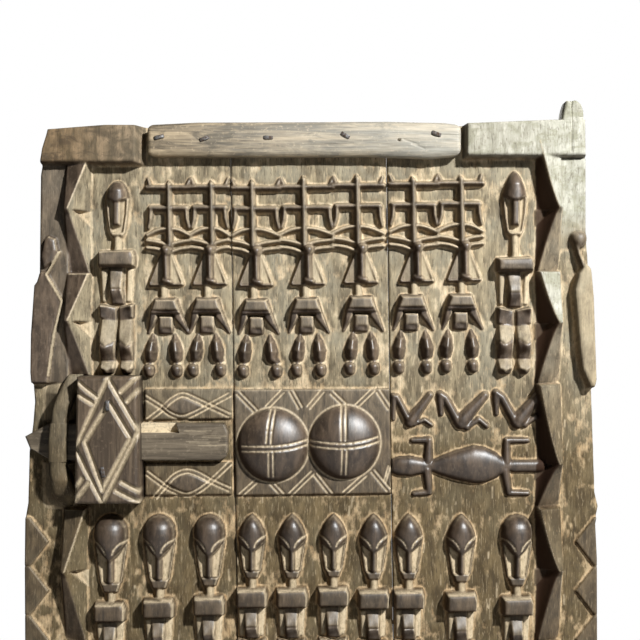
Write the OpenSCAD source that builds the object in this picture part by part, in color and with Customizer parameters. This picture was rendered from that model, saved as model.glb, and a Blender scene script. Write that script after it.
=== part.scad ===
// Carved granary door of three planks, tied by two let-in battens, with a
// sliding wooden tumbler lock. It swings on two pivots carved from its own
// right-hand plank. X runs along the door, Z is up and the carved front faces
// -Y. The origin is on the pivot axis, at the shoulder of the lower pivot.

/* [Planks] */
// Height of the door, bottom edge to top edge
door_h = 1240; // [1120:5:1400]
// Width of the lock-side plank at its top
left_w = 340; // [334:1:365]
// Width of the middle plank
middle_w = 281; // [274:1:300]
// Width of the pivot-side plank at its top
right_w = 353; // [348:1:380]
// Thickness of the planks behind the carving
plank_t = 26; // [22:1:34]
// Width of the open seam between two planks
seam_gap = 1.6; // [0.8:0.1:3]
// How far the seams lean towards the pivot side, from top to bottom
seam_lean = 18; // [0:1:22]
// How far the lock-side edge flares out at the bottom
left_flare = 28; // [16:1:32]
// How far the pivot-side edge flares out at the bottom
right_flare = 30; // [20:1:34]

/* [Bars and battens] */
// How far the bars and battens stand proud of the ground
bar_proud = 34; // [28:1:40]
// Height of the batten's face
batten_h = 57; // [50:1:60]
// Length of the bar carved on the lock-side plank
left_bar_l = 189; // [180:1:195]
// Length of the bar carved on the pivot-side plank
right_bar_l = 215; // [205:1:225]
// Gap between a batten and the bars beside it
batten_gap = 7; // [2:1:10]
// How far the bar's end is bevelled back beside the batten
bar_bevel = 16; // [8:1:22]

/* [Pivots] */
// Distance from the bars' front to the pivot axis
pivot_setback = 24; // [22:1:30]
// Distance from the pivot axis to the plank's top right edge
edge_to_pivot = 24; // [22:1:30]
// Radius of the round lower pivot
pivot_r = 21; // [17:0.5:22]
// Length of the lower pivot below the plank
lower_pivot_l = 42; // [30:1:60]
// Width of the upper pivot peg
upper_pivot_w = 38; // [32:1:42]
// Height of the upper pivot peg above the plank
upper_pivot_h = 33; // [24:1:50]

/* [Lock case] */
// Distance from the lock-side edge to the lock case
case_inset = 73; // [70:1:80]
// Width of the lock case
case_w = 112; // [108:1:118]
// Height of the lock case
case_h = 222; // [210:1:230]
// How far the lock case stands proud of the planks
case_proud = 68; // [62:1:80]
// Width of the V grooves on the lock case
groove_w = 8; // [5:0.5:10]

/* [Bolt and tumblers] */
// Height of the bolt
bolt_h = 66; // [60:1:70]
// Thickness of the bolt
bolt_t = 26; // [24:1:30]
// How far the bolt can be thrown
bolt_travel = 70; // [60:1:72]
// How far the drawn bolt reaches past the lock-side edge
bolt_overhang = 25; // [15:1:35]
// Length of the bolt's pointed end
arrow_l = 46; // [36:1:52]
// Height of the step cut along the bolt's front edge
step_h = 17; // [14:1:20]
// Thickness left behind that step
step_back_t = 11; // [9:0.5:12]
// Running gap all round the bolt
slide_gap = 0.5; // [0.4:0.1:0.8]
// Side of a tumbler's square shank
shank = 8; // [7:0.5:9]
// Width of a tumbler's head
tumbler_head_w = 14; // [12:0.5:15]
// Height of a tumbler's head
tumbler_head_h = 12; // [10:1:14]
// How far a tumbler can be lifted off the drawn bolt
tumbler_lift = 8; // [6:1:9]
// How far a tumbler drops below the step when the bolt is locked
tumbler_bite = 9; // [6:1:10]
// Gap round a tumbler in its chamber
tumbler_gap = 0.5; // [0.3:0.1:0.8]
// Height of the key's channel inside the bolt
key_h = 14; // [12:1:16]
// Depth of the key's channel, front to back
key_t = 9; // [8:0.5:10]

/* [Keeper] */
// Width of the keeper loop that the bolt passes under
keeper_w = 27; // [22:1:29]
// Distance from the lock-side edge to the keeper
keeper_inset = 28; // [26:1:32]
// Thickness of the keeper in front of the bolt
keeper_t = 19; // [14:1:24]

/* [Carving] */
// Relief of the mask crosses
cross_proud = 13; // [9:1:16]
// Relief of the mask faces and noses
nose_proud = 21; // [16:1:24]
// Relief of the shoulders on the mask figures
shoulder_proud = 24; // [18:1:28]
// Relief of the mask figures' legs
leg_proud = 13; // [10:1:16]
// Relief of the profile figures in the side columns
column_proud = 34; // [26:1:36]
// Relief of the seated figures on the outer edges
edge_proud = 15; // [10:1:18]
// Relief of the fish panels and of the panel under the breasts
panel_proud = 8; // [6:0.5:12]
// Radius of the breasts
breast_r = 63; // [58:1:66]
// Height of the breasts above their panel
breast_proud = 32; // [24:1:38]
// Relief of the crocodile's body
croc_proud = 18; // [12:1:24]

/* [Staples] */
// Width of a staple's back
staple_span = 19; // [16:1:22]
// Breadth of the flat iron that the staples are made of
staple_w = 7; // [5:0.5:8]
// Thickness of that iron
staple_t = 3; // [2:0.5:4]
// How far a staple's legs go into the planks
staple_bite = 14; // [10:1:18]
// Width of the staples across the seams on the back
seam_staple_span = 64; // [50:1:80]

/* [Hidden] */
$fn = 48;

ground_y = bar_proud - pivot_setback; // the carved ground, behind the axis
sink = 2; // how far carving is rooted in the plank

// Where the planks meet and end, along the top edge
right_x = edge_to_pivot;
seam_2 = right_x - right_w;
seam_1 = seam_2 - middle_w;
left_x = seam_1 - left_w;

// Depths of the three rows of carving below the top edge
figure_row = 90;
lock_row = 448;
ancestor_row = 697;
low_bar_h = batten_h + 13; // the bar along the bottom edge
foot_room = 42; // free ground under the lowest figures' feet
top_rise = 7; // the pivot-side plank is a little taller

// Lock, as seen from the front
case_x = left_x + case_inset;
bolt_row = lock_row + 118; // depth of the bolt's middle
bolt_top = door_h - bolt_row + bolt_h / 2;
bolt_end_gap = 2;
bolt_right = seam_1 - bolt_end_gap;
bolt_left = left_x - bolt_overhang;
case_right = case_x + case_w;
step_x = case_right + bolt_travel - 4; // the step stops at the case
step_l = 100;
slot_top = bolt_top + slide_gap;
slot_bottom = bolt_top - bolt_h - slide_gap;
slot_h = slot_top - slot_bottom;
slot_t = bolt_t + 2 * slide_gap;

// Tumblers: a thick head, and a shank over the step's front part
tumbler_x = [for (share = [0.17, 0.37, 0.68]) case_x + share * case_w];
shank_back = step_back_t + slide_gap + 2;
head_room = step_h + tumbler_bite; // full drop of a tumbler
throat_h = 13;
shank_l = throat_h + head_room + 3;
chamber_h = shank_l + tumbler_head_h + tumbler_lift + 3;
floor_z = bolt_top - step_h;
key_top = floor_z - tumbler_bite;

function seam_shift(d) = seam_lean * d / door_h;
function crown_r(h, w) = (h * h + w * w / 4) / (2 * h);

// ---------------------------------------------------------------- carving

// Puts its children on the carved ground of the planks
module on_ground() {
    translate([0, ground_y, 0]) children();
}

// A flat form that stands h proud; its outline is drawn as (x, z)
module raised(h, from = -sink) {
    translate([0, -from, 0]) rotate([90, 0, 0]) linear_extrude(h - from) children();
}

// A straight band of width w from point a to point b, flat
module band(a, b, w) {
    run = b - a;
    translate(a) rotate(atan2(run[1], run[0])) translate([0, -w / 2]) square([norm(run), w]);
}

// A rounded ridge of width w and relief h from point a to point b
module ridge(a, b, w, h) {
    r = w < 2 * h ? w / 2 : crown_r(h, w);
    wall = 0.92 * w; // the flat sides under the rounded top
    run = b - a;
    translate([a[0], 0, a[1]])
    rotate([0, atan2(run[0], run[1]), 0]) {
        translate([0, r - h, 0]) cylinder(r = r, h = norm(run), $fn = 32);
        if (w < 2 * h) translate([-wall / 2, r - h, 0]) cube([wall, h - r + sink, norm(run)]);
    }
}

// A block of width w and height t whose front is rounded like a log along X
module log_block(w, t, h) {
    r = crown_r(h, t * 1.5);
    intersection() {
        raised(h + 1) translate([-w / 2, -t]) square([w, t]);
        translate([-w, r - h, -t / 2]) rotate([0, 90, 0]) cylinder(r = r, h = 2 * w);
    }
}

// Keeps only what lies under a side profile, given as [depth down, relief]
module under_profile(profile, w) {
    last = profile[len(profile) - 1];
    rim = concat(profile, [[last[0], -sink], [profile[0][0], -sink]]);
    intersection() {
        children();
        translate([-w, 0, 0]) rotate([90, 0, 90]) linear_extrude(2 * w)
            polygon([for (p = rim) [-p[1], -p[0]]]);
    }
}

// A solid lofted down through cross sections, each [depth down, [[x, relief], ...]]
module loft(sections) {
    n = len(sections[0][1]);
    last = (len(sections) - 1) * n;
    points = [for (s = sections) for (p = s[1]) [p[0], -p[1], -s[0]]];
    sides = [for (k = [0 : n : last - n]) for (i = [0 : n - 1])
        let (j = (i + 1) % n) each [[k + i, k + j, k + j + n], [k + i, k + j + n, k + i + n]]];
    top = [for (i = [n - 1 : -1 : 0]) i];
    bottom = [for (i = [0 : n - 1]) last + i];
    polyhedron(points, concat(sides, [top, bottom]));
}

// ---------------------------------------------------------------- figures

// Head of a standing figure: egg-shaped cap, hollowed cheeks, nose and chin
module figure_head() {
    cap_r = 20;
    translate([0, -4, 0]) {
        translate([0, 0, -cap_r]) sphere(r = cap_r);
        translate([0, 0, -52]) cylinder(r1 = 5, r2 = 0.92 * cap_r, h = 29);
    }
    raised(8) polygon([[-17, -30], [17, -30], [13, -80], [8, -91], [-8, -91], [-13, -80]]);
    ridge([0, -32], [0, -78], 9, 19);
    raised(14) polygon([[-12, -80], [12, -80], [8, -92], [-8, -92]]);
}

// Body of a standing figure below the chin, with block shoulders
module figure_body(shoulder_w = 62, hip_w = 28) {
    arm_x = shoulder_w / 2 - 5;
    ridge([0, -88], [0, -128], 16, 12);
    translate([0, 0, -124]) log_block(shoulder_w, 34, 32);
    ridge([0, -155], [0, -218], 24, 18);
    for (side = [-1, 1]) {
        ridge([side * arm_x, -156], [side * (arm_x - 2), -204], 9, 8);
        translate([side * (hip_w / 2 + 1), 0, -217]) log_block(hip_w, 27, 22);
        ridge([side * 15, -243], [side * 14, -290], 25, 18);
        ridge([side * 14, -288], [side * 14, -324], 20, 13);
        ridge([side * 15, -323], [side * 16, -346], 22, 15);
    }
}

module standing_figure() {
    figure_head();
    figure_body();
}

// Ancestor of the lowest row: the same figure with a large head of width head_w
module ancestor(head_w) {
    body_h = 258; // chin to sole of a standing figure
    fit = (door_h - ancestor_row - low_bar_h - foot_room - 2.2 * head_w) / body_h;
    body_s = min(1.15, fit);
    scale(head_w / 40) figure_head();
    translate([0, 0, 88 * body_s - 2.2 * head_w]) scale(body_s) figure_body(51, 23);
}

// Cross of a mask: a post, two bars with turned ends and the eyes' lens,
// reaching out by reach[0] to the left and by reach[1] to the right
module mask_cross(reach) {
    bar_t = 9;
    thin = cross_proud - 3;
    ridge([0, -114], [0, -4], 10, cross_proud);
    for (side = [0, 1]) {
        r = reach[side];
        mirror([1 - side, 0, 0]) raised(thin) {
            polygon([[0, -10], [r - 8, -10], [r, 0], [r, -10 - bar_t], [0, -10 - bar_t]]);
            polygon([[0, -44], [r, -44], [r, -68], [r - 4, -68], [r - 9, -44 - bar_t],
                [0, -44 - bar_t]]);
            band([0, -80], [r, -92], 6);
            band([0, -112], [r, -92], 6);
            band([0, -123], [r, -106], 7);
        }
    }
}

// Figure that wears the mask: flared face, trapezoid shoulders, bent legs
module mask_figure(reach, stance) {
    mask_cross(reach);
    raised(7) polygon([[-5, -116], [5, -116], [30, -178], [26, -186], [-26, -186], [-30, -178]]);
    ridge([0, -114], [0, -178], 9, nose_proud);
    ridge([0, -180], [0, -216], 12, 10);
    raised(shoulder_proud) polygon([[-19, -213], [19, -213], [25, -238], [-25, -238]]);
    raised(15) polygon([[-13, -236], [13, -236], [13, -274], [-13, -274]]);
    for (side = [-1, 1]) {
        ridge([side * 20, -232], [side * 38, -268], 10, 9);
        ridge([side * (stance - 7), -278], [side * stance, -328], 16, leg_proud);
        ridge([side * stance, -327], [side * (stance + 2), -350], 17, leg_proud - 1);
    }
}

// Bent leg with two feet, 80 wide from its toes to the top of its thigh
module bent_leg() {
    ridge([0, -2], [0, -38], 13, 11);
    ridge([1, -3], [36, -64], 15, 13);
    ridge([36, -62], [80, -3], 20, 16);
    ridge([38, -64], [80, -58], 11, 10);
}

// One bent figure of a side column: its face leans out to an elbow on the
// right, and its flank falls to the ground on the left
module column_figure(length, elbow, rise = 0) {
    w = 34;
    loft([
        [0, [[-w, -sink], [2 - w, column_proud + rise], [0, column_proud + rise], [0, -sink]]],
        [elbow, [[-w, -sink], [-11, column_proud + 5], [3, column_proud + 5], [3, -sink]]],
        [length, [[-w, -sink], [5 - w, column_proud - 10], [0, column_proud - 10], [0, -sink]]]
    ]);
}

// The figures of a side column, each given as [depth below the top edge, length, elbow]
module column(figures) {
    for (f = figures) translate([0, 0, door_h - f[0]]) column_figure(f[1], f[2]);
}

// ---------------------------------------------------------------- planks

// Edges of the door, as [depth below the top, share of the flare]
left_wave = [[4, 0], [265, 0.05], [290, 0.32], [380, 0.46], [450, 0.5], [500, 0.36],
    [590, 0.6], [690, 0.64], [705, 0.8], [door_h, 1]];
right_wave = [[0, 0], [200, 0.1], [330, 0.42], [470, 0.6], [500, 0.5], [665, 0.75],
    [700, 0.93], [735, 0.75], [door_h, 1]];
left_edge = [for (p = left_wave) [left_x - left_flare * p[1], door_h - p[0]]];
right_edge = [for (p = right_wave) [right_x + right_flare * p[1], door_h - p[0]]];

function seam_line(x) = [[x + seam_shift(0), door_h], [x + seam_shift(door_h), 0]];
function reversed(list) = [for (i = [len(list) - 1 : -1 : 0]) list[i]];

left_outline = concat(left_edge, reversed(seam_line(seam_1 - seam_gap / 2)));
middle_outline = concat(seam_line(seam_1 + seam_gap / 2),
    reversed(seam_line(seam_2 - seam_gap / 2)));
right_outline = concat(seam_line(seam_2 + seam_gap / 2), reversed(right_edge));

module slab(outline) {
    raised(0, -plank_t) polygon(outline);
}

// Keeps carving inside its plank's own outline
module within(outline, h) {
    intersection() {
        children();
        raised(h, -2 * sink) polygon(outline);
    }
}

// Cross bar carved in one piece with a plank, its end at x_end bevelled back
module bar(x_outer, x_end, z_low, height) {
    way = sign(x_end - x_outer);
    translate([0, 0, z_low]) linear_extrude(height) polygon([
        [x_outer, sink], [x_outer, -bar_proud], [x_end - way * bar_bevel, -bar_proud],
        [x_end, 0], [x_end, sink]
    ]);
}

module seat_at(x, depth) {
    translate([x, 0, door_h - depth]) children();
}

// The two lowest figures of a side column share what is left above the bottom bar
column_low = 685;
low_l = (door_h - column_low - low_bar_h - 4) / 2;
low_figures = [for (i = [0, 1]) [column_low + i * low_l, low_l, 0.46 * low_l]];

// Half diamonds that run down an outer edge beside the lowest row
module edge_diamonds(x, way) {
    tall = 88;
    count = floor((door_h - ancestor_row - 80) / tall);
    for (i = [0 : count - 1]) seat_at(x, ancestor_row + 6 + i * tall)
        raised(6) polygon([[0, 0], [way * 34, -tall / 2], [0, -tall], [-way * 30, -tall],
            [-way * 30, 0]]);
}

// Raised panel with a crowned fish between crossing tails
module fish_panel(w, h) {
    lens_w = 76;
    r = crown_r(h * 0.34, lens_w);
    raised(panel_proud) square([w, h]);
    translate([w * 0.48, 0, h / 2]) {
        intersection() {
            raised(panel_proud + 5) intersection_for (way = [-1, 1])
                translate([0, way * (r - h * 0.34)]) circle(r = r);
            translate([-w, crown_r(12, h) - 12, 0]) rotate([0, 90, 0])
                cylinder(r = crown_r(12, h), h = 2 * w);
        }
        raised(panel_proud + 2) for (way = [-1, 1])
            band([-w * 0.44, way * h * 0.36], [w * 0.44, -way * h * 0.36], 4);
    }
}

// Loop over the bolt, carved from the lock-side plank
module keeper() {
    mid = lock_row + 118;
    proud = slot_t + keeper_t;
    side_profile = [[lock_row, 30], [lock_row + 56, proud], [mid + 66, proud],
        [lock_row + 234, 16]];
    translate([left_x + keeper_inset, 0, door_h]) under_profile(side_profile, 200)
    raised(proud) polygon([
        [24, -lock_row], [42, -lock_row], [39, -lock_row - 34], [keeper_w, 68 - mid],
        [keeper_w, -mid - 56], [keeper_w + 5, -mid - 70], [keeper_w + 2, -lock_row - 234],
        [16, -lock_row - 234], [0, -mid - 74], [-2, -mid - 56], [3, 58 - mid], [18, -lock_row - 18]
    ]);
}

module bolt_slot(x, w) {
    translate([x, -slot_t, slot_bottom]) cube([w, slot_t, slot_h]);
}

left_masks = [[-109, 38, 38, 25], [-33, 34, 31, 24]]; // from the seam: x, reaches, stance
middle_masks = [[39, 31, 47, 29], [131, 41, 47, 26], [229, 47, 48, 27]];
right_masks = [[49, 44, 43, 20], [134, 39, 37, 22]];

module masks(x, list, depth) {
    for (m = list) seat_at(x + m[0], depth) mask_figure([m[1], m[2]], m[3]);
}

// Ancestors of the lowest row, each given as [x, width of its head]
module ancestors(list) {
    for (a = list) seat_at(a[0], ancestor_row) ancestor(a[1]);
}

module left_plank() {
    bar_h = low_bar_h;
    color("#7d6a4a") on_ground() difference() {
        union() {
            slab(left_outline);
            within(left_outline, bar_proud + 10) {
                bar(left_x - 40, left_x + left_bar_l, door_h - bar_h - 1, bar_h + 1);
                bar(left_x - 40, left_x + left_bar_l, 0, bar_h);
            }
            within(left_outline, edge_proud) {
                seat_at(left_x, 0) raised(edge_proud) polygon([
                    [21, -206], [35, -211], [37, -234], [23, -252], [35, -320], [19, -376],
                    [9, -463], [-30, -463], [-30, -300], [5, -263], [9, -245]
                ]);
                edge_diamonds(left_x - left_flare + 10, 1);
            }
            translate([left_x + 56, 0, 0]) mirror([1, 0, 0])
                column(concat([[71, 195, 80], [266, lock_row - 267, 84]], low_figures));
            keeper();
            seat_at(left_x + 140, figure_row + 10) standing_figure();
            within(left_outline, 80) masks(seam_1, left_masks, figure_row + 10);
            seat_at(case_right + 1, bolt_row - bolt_h / 2 - 2)
                fish_panel(seam_1 - case_right - 3, 54);
            seat_at(case_right + 1, bolt_row + bolt_h / 2 + 68)
                fish_panel(seam_1 - case_right - 1, 60);
            ancestors([[left_x + 127, 61], [seam_1 - 126, 58], [seam_1 - 36, 56]]);
        }
        bolt_slot(left_x - 80, 200);
        staple_holes();
    }
}

module middle_plank() {
    color("#7d6a4a") on_ground() difference() {
        union() {
            slab(middle_outline);
            within(middle_outline, 80) {
                masks(seam_1, middle_masks, figure_row);
                seat_at(seam_1 - 10, lock_row + 26 + 189) raised(panel_proud)
                    square([middle_w + 40, 189]);
            }
            for (way = [-1, 1])
                seat_at(seam_1 + middle_w / 2 + 2 + way * (breast_r + 1), bolt_row + 4) breast();
            within(middle_outline, 80)
                ancestors([for (p = [[40, 50], [112, 50], [186, 49], [258, 51]])
                    [seam_1 + p[0], p[1]]]);
        }
        staple_holes();
    }
}

// Dome of one breast, standing on its panel
module breast() {
    h = breast_proud + panel_proud;
    r = crown_r(breast_proud, 2 * breast_r);
    intersection() {
        translate([0, r - h, 0]) sphere(r = r, $fn = 96);
        raised(h + 1) circle(r = breast_r + 1, $fn = 96);
    }
}

// Crocodile seen from above, its head towards the seam
module crocodile() {
    half = 34;
    body_r = crown_r(half, 150);
    log_r = crown_r(croc_proud, 2 * half + 24);
    intersection() {
        raised(croc_proud + 1) union() {
            translate([149, 0]) intersection_for (way = [-1, 1])
                translate([0, way * (body_r - half)]) circle(r = body_r);
            translate([36, 0]) scale([1.75, 1]) circle(r = 18);
            polygon([[210, 13], [276, 11], [284, 6], [284, -8], [276, -12], [210, -12]]);
        }
        translate([-10, log_r - croc_proud, 0]) rotate([0, 90, 0]) cylinder(r = log_r, h = 320);
    }
    for (way = [-1, 1]) {
        ridge([72, way * 8], [72, way * 54], 12, 11);
        ridge([77, way * 49], [38, way * 49], 10, 9);
        ridge([212, way * 8], [212, way * 54], 12, 11);
        ridge([207, way * 49], [250, way * 49], 10, 9);
    }
}

module upper_pivot() {
    half = upper_pivot_w / 2;
    top = upper_pivot_h + top_rise;
    deep = 2 * pivot_setback;
    intersection() {
        translate([0, pivot_setback, door_h - 20]) rotate([90, 0, 0]) linear_extrude(deep)
            polygon([[-half, 0], [half, 0], [half, top + 8], [half - 7, top + 17],
                [half - 14, top + 20], [-half + 9, top + 20], [-half + 3, top + 10]]);
        translate([0, 0, door_h - 20]) cylinder(r = 1.17 * pivot_setback, h = top + 20);
    }
}

module lower_pivot() {
    tip = 4;
    translate([0, 0, tip - lower_pivot_l]) cylinder(r = pivot_r, h = lower_pivot_l - tip + 30);
    translate([0, 0, -lower_pivot_l]) cylinder(r1 = pivot_r - tip, r2 = pivot_r, h = tip);
}

module right_plank() {
    bar_h = batten_h + 2;
    color("#8b7a5c") {
        on_ground() difference() {
            union() {
                slab(right_outline);
                within(right_outline, bar_proud + 10) {
                    bar(right_x + 60, right_x - right_bar_l, door_h - bar_h, bar_h);
                    bar(right_x + 60, right_x - right_bar_l, 0, bar_h + 10);
                }
                seat_at(0, 0) raised(bar_proud, -plank_t) polygon([
                    [right_x - right_bar_l + bar_bevel, 0], [right_x, 0], [right_x, top_rise],
                    [right_x - 60, top_rise]
                ]);
                within(right_outline, edge_proud) {
                    seat_at(right_x, 201) raised(edge_proud) {
                        translate([-6, 0]) circle(r = 12);
                        polygon([[-6, -8], [-2, -53], [-13, -74], [-13, -109], [-9, -164],
                            [-2, -217], [3, -259], [12, -271], [60, -271], [60, -53], [6, -53]]);
                    }
                    edge_diamonds(right_x + right_flare - 10, -1);
                }
                translate([right_x - 48, 0, 0])
                    column(concat([[37, 225, 112], [262, 201, 91], [463, 221, 141]], low_figures));
                masks(seam_2, right_masks, figure_row);
                seat_at(right_x - 121, figure_row - 4) scale(1.04) standing_figure();
                seat_at(seam_2 + 17, lock_row + 37) scale(0.8) bent_leg();
                seat_at(seam_2 + 98, lock_row + 32) bent_leg();
                seat_at(seam_2 + 196, lock_row + 31) bent_leg();
                seat_at(seam_2 + 6, bolt_row + 44) crocodile();
                within(right_outline, 80)
                    ancestors([for (p = [[40, 51], [134, 53], [234, 56]]) [seam_2 + p[0], p[1]]]);
            }
            staple_holes();
        }
        upper_pivot();
        lower_pivot();
    }
}

// ---------------------------------------------------------------- battens

batten_x = left_x + left_bar_l + batten_gap;
batten_l = right_x - right_bar_l - batten_gap - batten_x;

module batten(z) {
    r = crown_r(bar_proud, batten_h * 2.2);
    translate([batten_x, 0, z]) intersection() {
        raised(bar_proud + 1, 0) polygon([
            [5, 0], [batten_l - 6, 0], [batten_l, 10], [batten_l, batten_h - 10],
            [batten_l - 8, batten_h], [batten_l - 120, batten_h + 5], [60, batten_h + 3],
            [4, batten_h], [0, batten_h - 6], [0, 6]
        ]);
        translate([-1, r - bar_proud, batten_h / 2 + 2]) rotate([0, 90, 0])
            cylinder(r = r, h = batten_l + 2, $fn = 96);
    }
}

module top_batten() {
    color("#a3906c") on_ground() difference() {
        batten(door_h - batten_h - 2);
        staple_holes();
        translate([batten_x + batten_l - 110, 0, door_h - 28]) rotate([90, 0, 0])
            cylinder(r = 2.5, h = 60);
    }
}

module bottom_batten() {
    color("#8f7c5b") on_ground() difference() {
        batten(2);
        staple_holes();
    }
}

// ---------------------------------------------------------------- staples

// Legs of a staple that is driven back by leg from the face at relief h
module staple_legs(span, leg, h, play = 0) {
    for (way = [-1, 1]) translate([way * (span - staple_t) / 2, leg / 2 - h, 0])
        cube([staple_t + play, leg, staple_w + play], center = true);
}

module staple(span, leg, h) {
    staple_legs(span, leg, h);
    translate([0, -h - staple_t / 2, 0]) cube([span, staple_t, staple_w], center = true);
}

staple_play = 0.3; // between a staple's back and the wood under it

// Where the batten's staples sit: distance along it, height and tilt
batten_staples = [[21, 34, -15], [101, 31, -20], [214, 33, 0], [351, 37, 30],
    [batten_l - 44, 40, 20]];
// Relief of the crowned batten face at a height on it
function batten_face(z) = let (r = crown_r(bar_proud, batten_h * 2.2), off = z - batten_h / 2 - 2)
    bar_proud - r + sqrt(r * r - off * off);

// Height on the batten of a tilted staple's highest-standing edge
function staple_edge(at, tilt) = let (mid = batten_h / 2 + 2, off = abs(at - mid),
    reach = staple_span / 2 * sin(abs(tilt)) + staple_w / 2) mid + max(0, off - reach);

module each_batten_staple(z) {
    for (s = batten_staples) {
        face = batten_face(staple_edge(s[1], s[2]));
        translate([batten_x + s[0], bar_proud - face - staple_play, z + s[1]])
            rotate([0, s[2], 0]) children();
    }
}

// Where the lock case's staples sit, from its lower left corner
case_bottom = door_h - lock_row - case_h;
under_bolt = slot_bottom - case_bottom - staple_span / 2 - 5;
between_tumblers = (tumbler_x[1] + tumbler_x[2]) / 2 - case_x;
case_staples = [[between_tumblers, case_h - 50, 90], [0.455 * case_w, under_bolt, 80]];
case_leg = case_proud + staple_bite;

module each_case_staple() {
    for (s = case_staples) translate([case_x + s[0], -staple_play, case_bottom + s[1]])
        rotate([0, s[2], 0]) children();
}

// Staples across the seams on the back, at these depths below the top edge
seam_staple_rows = [320, 900];

module each_seam_staple() {
    for (x = [seam_1, seam_2], d = seam_staple_rows)
        translate([x + seam_shift(d), plank_t + staple_play, door_h - d])
            rotate([0, 0, 180]) children();
}

batten_leg = bar_proud + staple_bite;
seam_leg = staple_bite + 3;
hole_play = 0.2;

// Every staple hole of the door, to be cut from planks, battens and lock case
module staple_holes() {
    for (z = [2, door_h - batten_h - 2]) each_batten_staple(z)
        staple_legs(staple_span, batten_leg + 3, bar_proud + 2, hole_play);
    each_case_staple() staple_legs(staple_span, case_leg + 3, case_proud + 2, hole_play);
    each_seam_staple() staple_legs(seam_staple_span, seam_leg + 3, 2, hole_play);
}

module top_batten_staples() {
    color("#3b3733") on_ground() each_batten_staple(door_h - batten_h - 2)
        staple(staple_span, batten_leg, bar_proud);
}

module bottom_batten_staples() {
    color("#3b3733") on_ground() each_batten_staple(2)
        staple(staple_span, batten_leg, bar_proud);
}

module back_staples() {
    color("#3b3733") on_ground() each_seam_staple()
        staple(seam_staple_span, seam_leg, 0);
}

module lock_case_staples() {
    color("#3b3733") on_ground() each_case_staple() staple(staple_span, case_leg, case_proud);
}

// ---------------------------------------------------------------- lock

// V groove along the front of the lock case, from a to b
module groove(a, b) {
    run = b - a;
    side = groove_w / sqrt(2);
    translate([a[0], -case_proud, a[1]]) rotate([0, atan2(run[0], run[1]), 0]) rotate([0, 0, 45])
        translate([-side / 2, -side / 2, 0]) cube([side, side, norm(run)]);
}

// Double lines: a big diamond, and two strokes across each corner
module case_carving() {
    step = 13;
    top = [0.54 * case_w, case_h];
    left = [0, 0.47 * case_h];
    right = [case_w, 0.53 * case_h];
    bottom = [0.45 * case_w, 0];
    centre = (top + bottom) / 2;
    shrink = 1 - step / (0.42 * case_w);
    for (s = [1, shrink]) {
        ring = [for (p = [top, right, bottom, left]) centre + s * (p - centre)];
        for (i = [0 : 3]) groove(ring[i], ring[(i + 1) % 4]);
    }
    strokes = [[3, 6], [38, 33], [2, 22], [31, 44]];
    for (x = [0, 1], z = [0, 1]) for (i = [0, 2]) {
        corner = [x * case_w, z * case_h];
        way = [1 - 2 * x, 1 - 2 * z];
        a = strokes[i];
        b = strokes[i + 1] * (z == 1 ? 1 : 0.8);
        groove(corner + [way[0] * a[0], way[1] * a[1]], corner + [way[0] * b[0], way[1] * b[1]]);
    }
}

// Chamber of a tumbler: a throat for the shank under a wider room for the head
module tumbler_chamber(x) {
    deep = slot_t;
    w = shank + 2 * tumbler_gap;
    head_w = tumbler_head_w + 2 * tumbler_gap;
    translate([x - w / 2, -deep, slot_top - 1]) cube([w, deep, throat_h + 2]);
    translate([x - head_w / 2, -deep, slot_top + throat_h])
        cube([head_w, deep, chamber_h - throat_h]);
}

module lock_case() {
    corner = 5;
    color("#5b4636") on_ground() difference() {
        translate([case_x, 0, case_bottom]) difference() {
            raised(case_proud, 0) polygon([
                [corner, 0], [case_w - corner, 0], [case_w, corner], [case_w - 2, case_h - corner],
                [case_w - corner - 2, case_h], [corner + 3, case_h], [3, case_h - corner],
                [0, corner]
            ]);
            case_carving();
        }
        bolt_slot(case_x - 1, case_w + 2);
        for (x = tumbler_x) tumbler_chamber(x);
        staple_holes();
    }
}

// Arrow end, plain bar, a step along the front and a hollow for the key
module lock_bolt() {
    lift = slide_gap;
    back = bolt_t - step_back_t;
    low = bolt_top - bolt_h;
    round_r = 0.22 * bolt_h; // worn corners of the inner end
    key_x = tumbler_x[0] + bolt_travel - shank; // blind end of the key's channel
    color("#6f5e45") on_ground() translate([0, -lift, 0]) difference() {
        raised(bolt_t, 0) polygon([
            [bolt_left, low + 0.64 * bolt_h], [bolt_left + 0.2 * arrow_l, low + 0.3 * bolt_h],
            [bolt_left + arrow_l, low], [bolt_right - round_r, low],
            [bolt_right - 0.2 * round_r, low + 0.4 * round_r], [bolt_right, low + round_r],
            [bolt_right, bolt_top - round_r], [bolt_right - 0.3 * round_r, bolt_top - 2],
            [bolt_right - round_r, bolt_top], [bolt_left + arrow_l - 2, bolt_top]
        ]);
        translate([step_x - step_l, -bolt_t - 1, floor_z]) cube([step_l, back + 1, step_h + 1]);
        translate([bolt_left - 1, -bolt_t - 1, low - 1])
            cube([arrow_l + 2, 0.3 * bolt_t + 1, bolt_h + 2]);
        translate([key_x, -shank_back - key_t, key_top - key_h])
            cube([bolt_right + 1 - key_x, key_t, key_h]);
        for (x = tumbler_x) translate([x + bolt_travel - shank / 2 - 1, -shank_back - key_t,
            key_top - 1]) cube([shank + 2, key_t, tumbler_bite + 2]);
    }
}

module tumbler(x) {
    thick = slot_t - 2 * tumbler_gap;
    foot = bolt_top + 0.3;
    color("#4d3a2b") on_ground() {
        translate([x - shank / 2, -shank_back - shank, foot]) cube([shank, shank, shank_l + 1]);
        translate([x - tumbler_head_w / 2, -thick - tumbler_gap, foot + shank_l])
            cube([tumbler_head_w, thick, tumbler_head_h]);
    }
}

module tumbler_left() {
    tumbler(tumbler_x[0]);
}

module tumbler_middle() {
    tumbler(tumbler_x[1]);
}

module tumbler_right() {
    tumbler(tumbler_x[2]);
}

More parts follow.
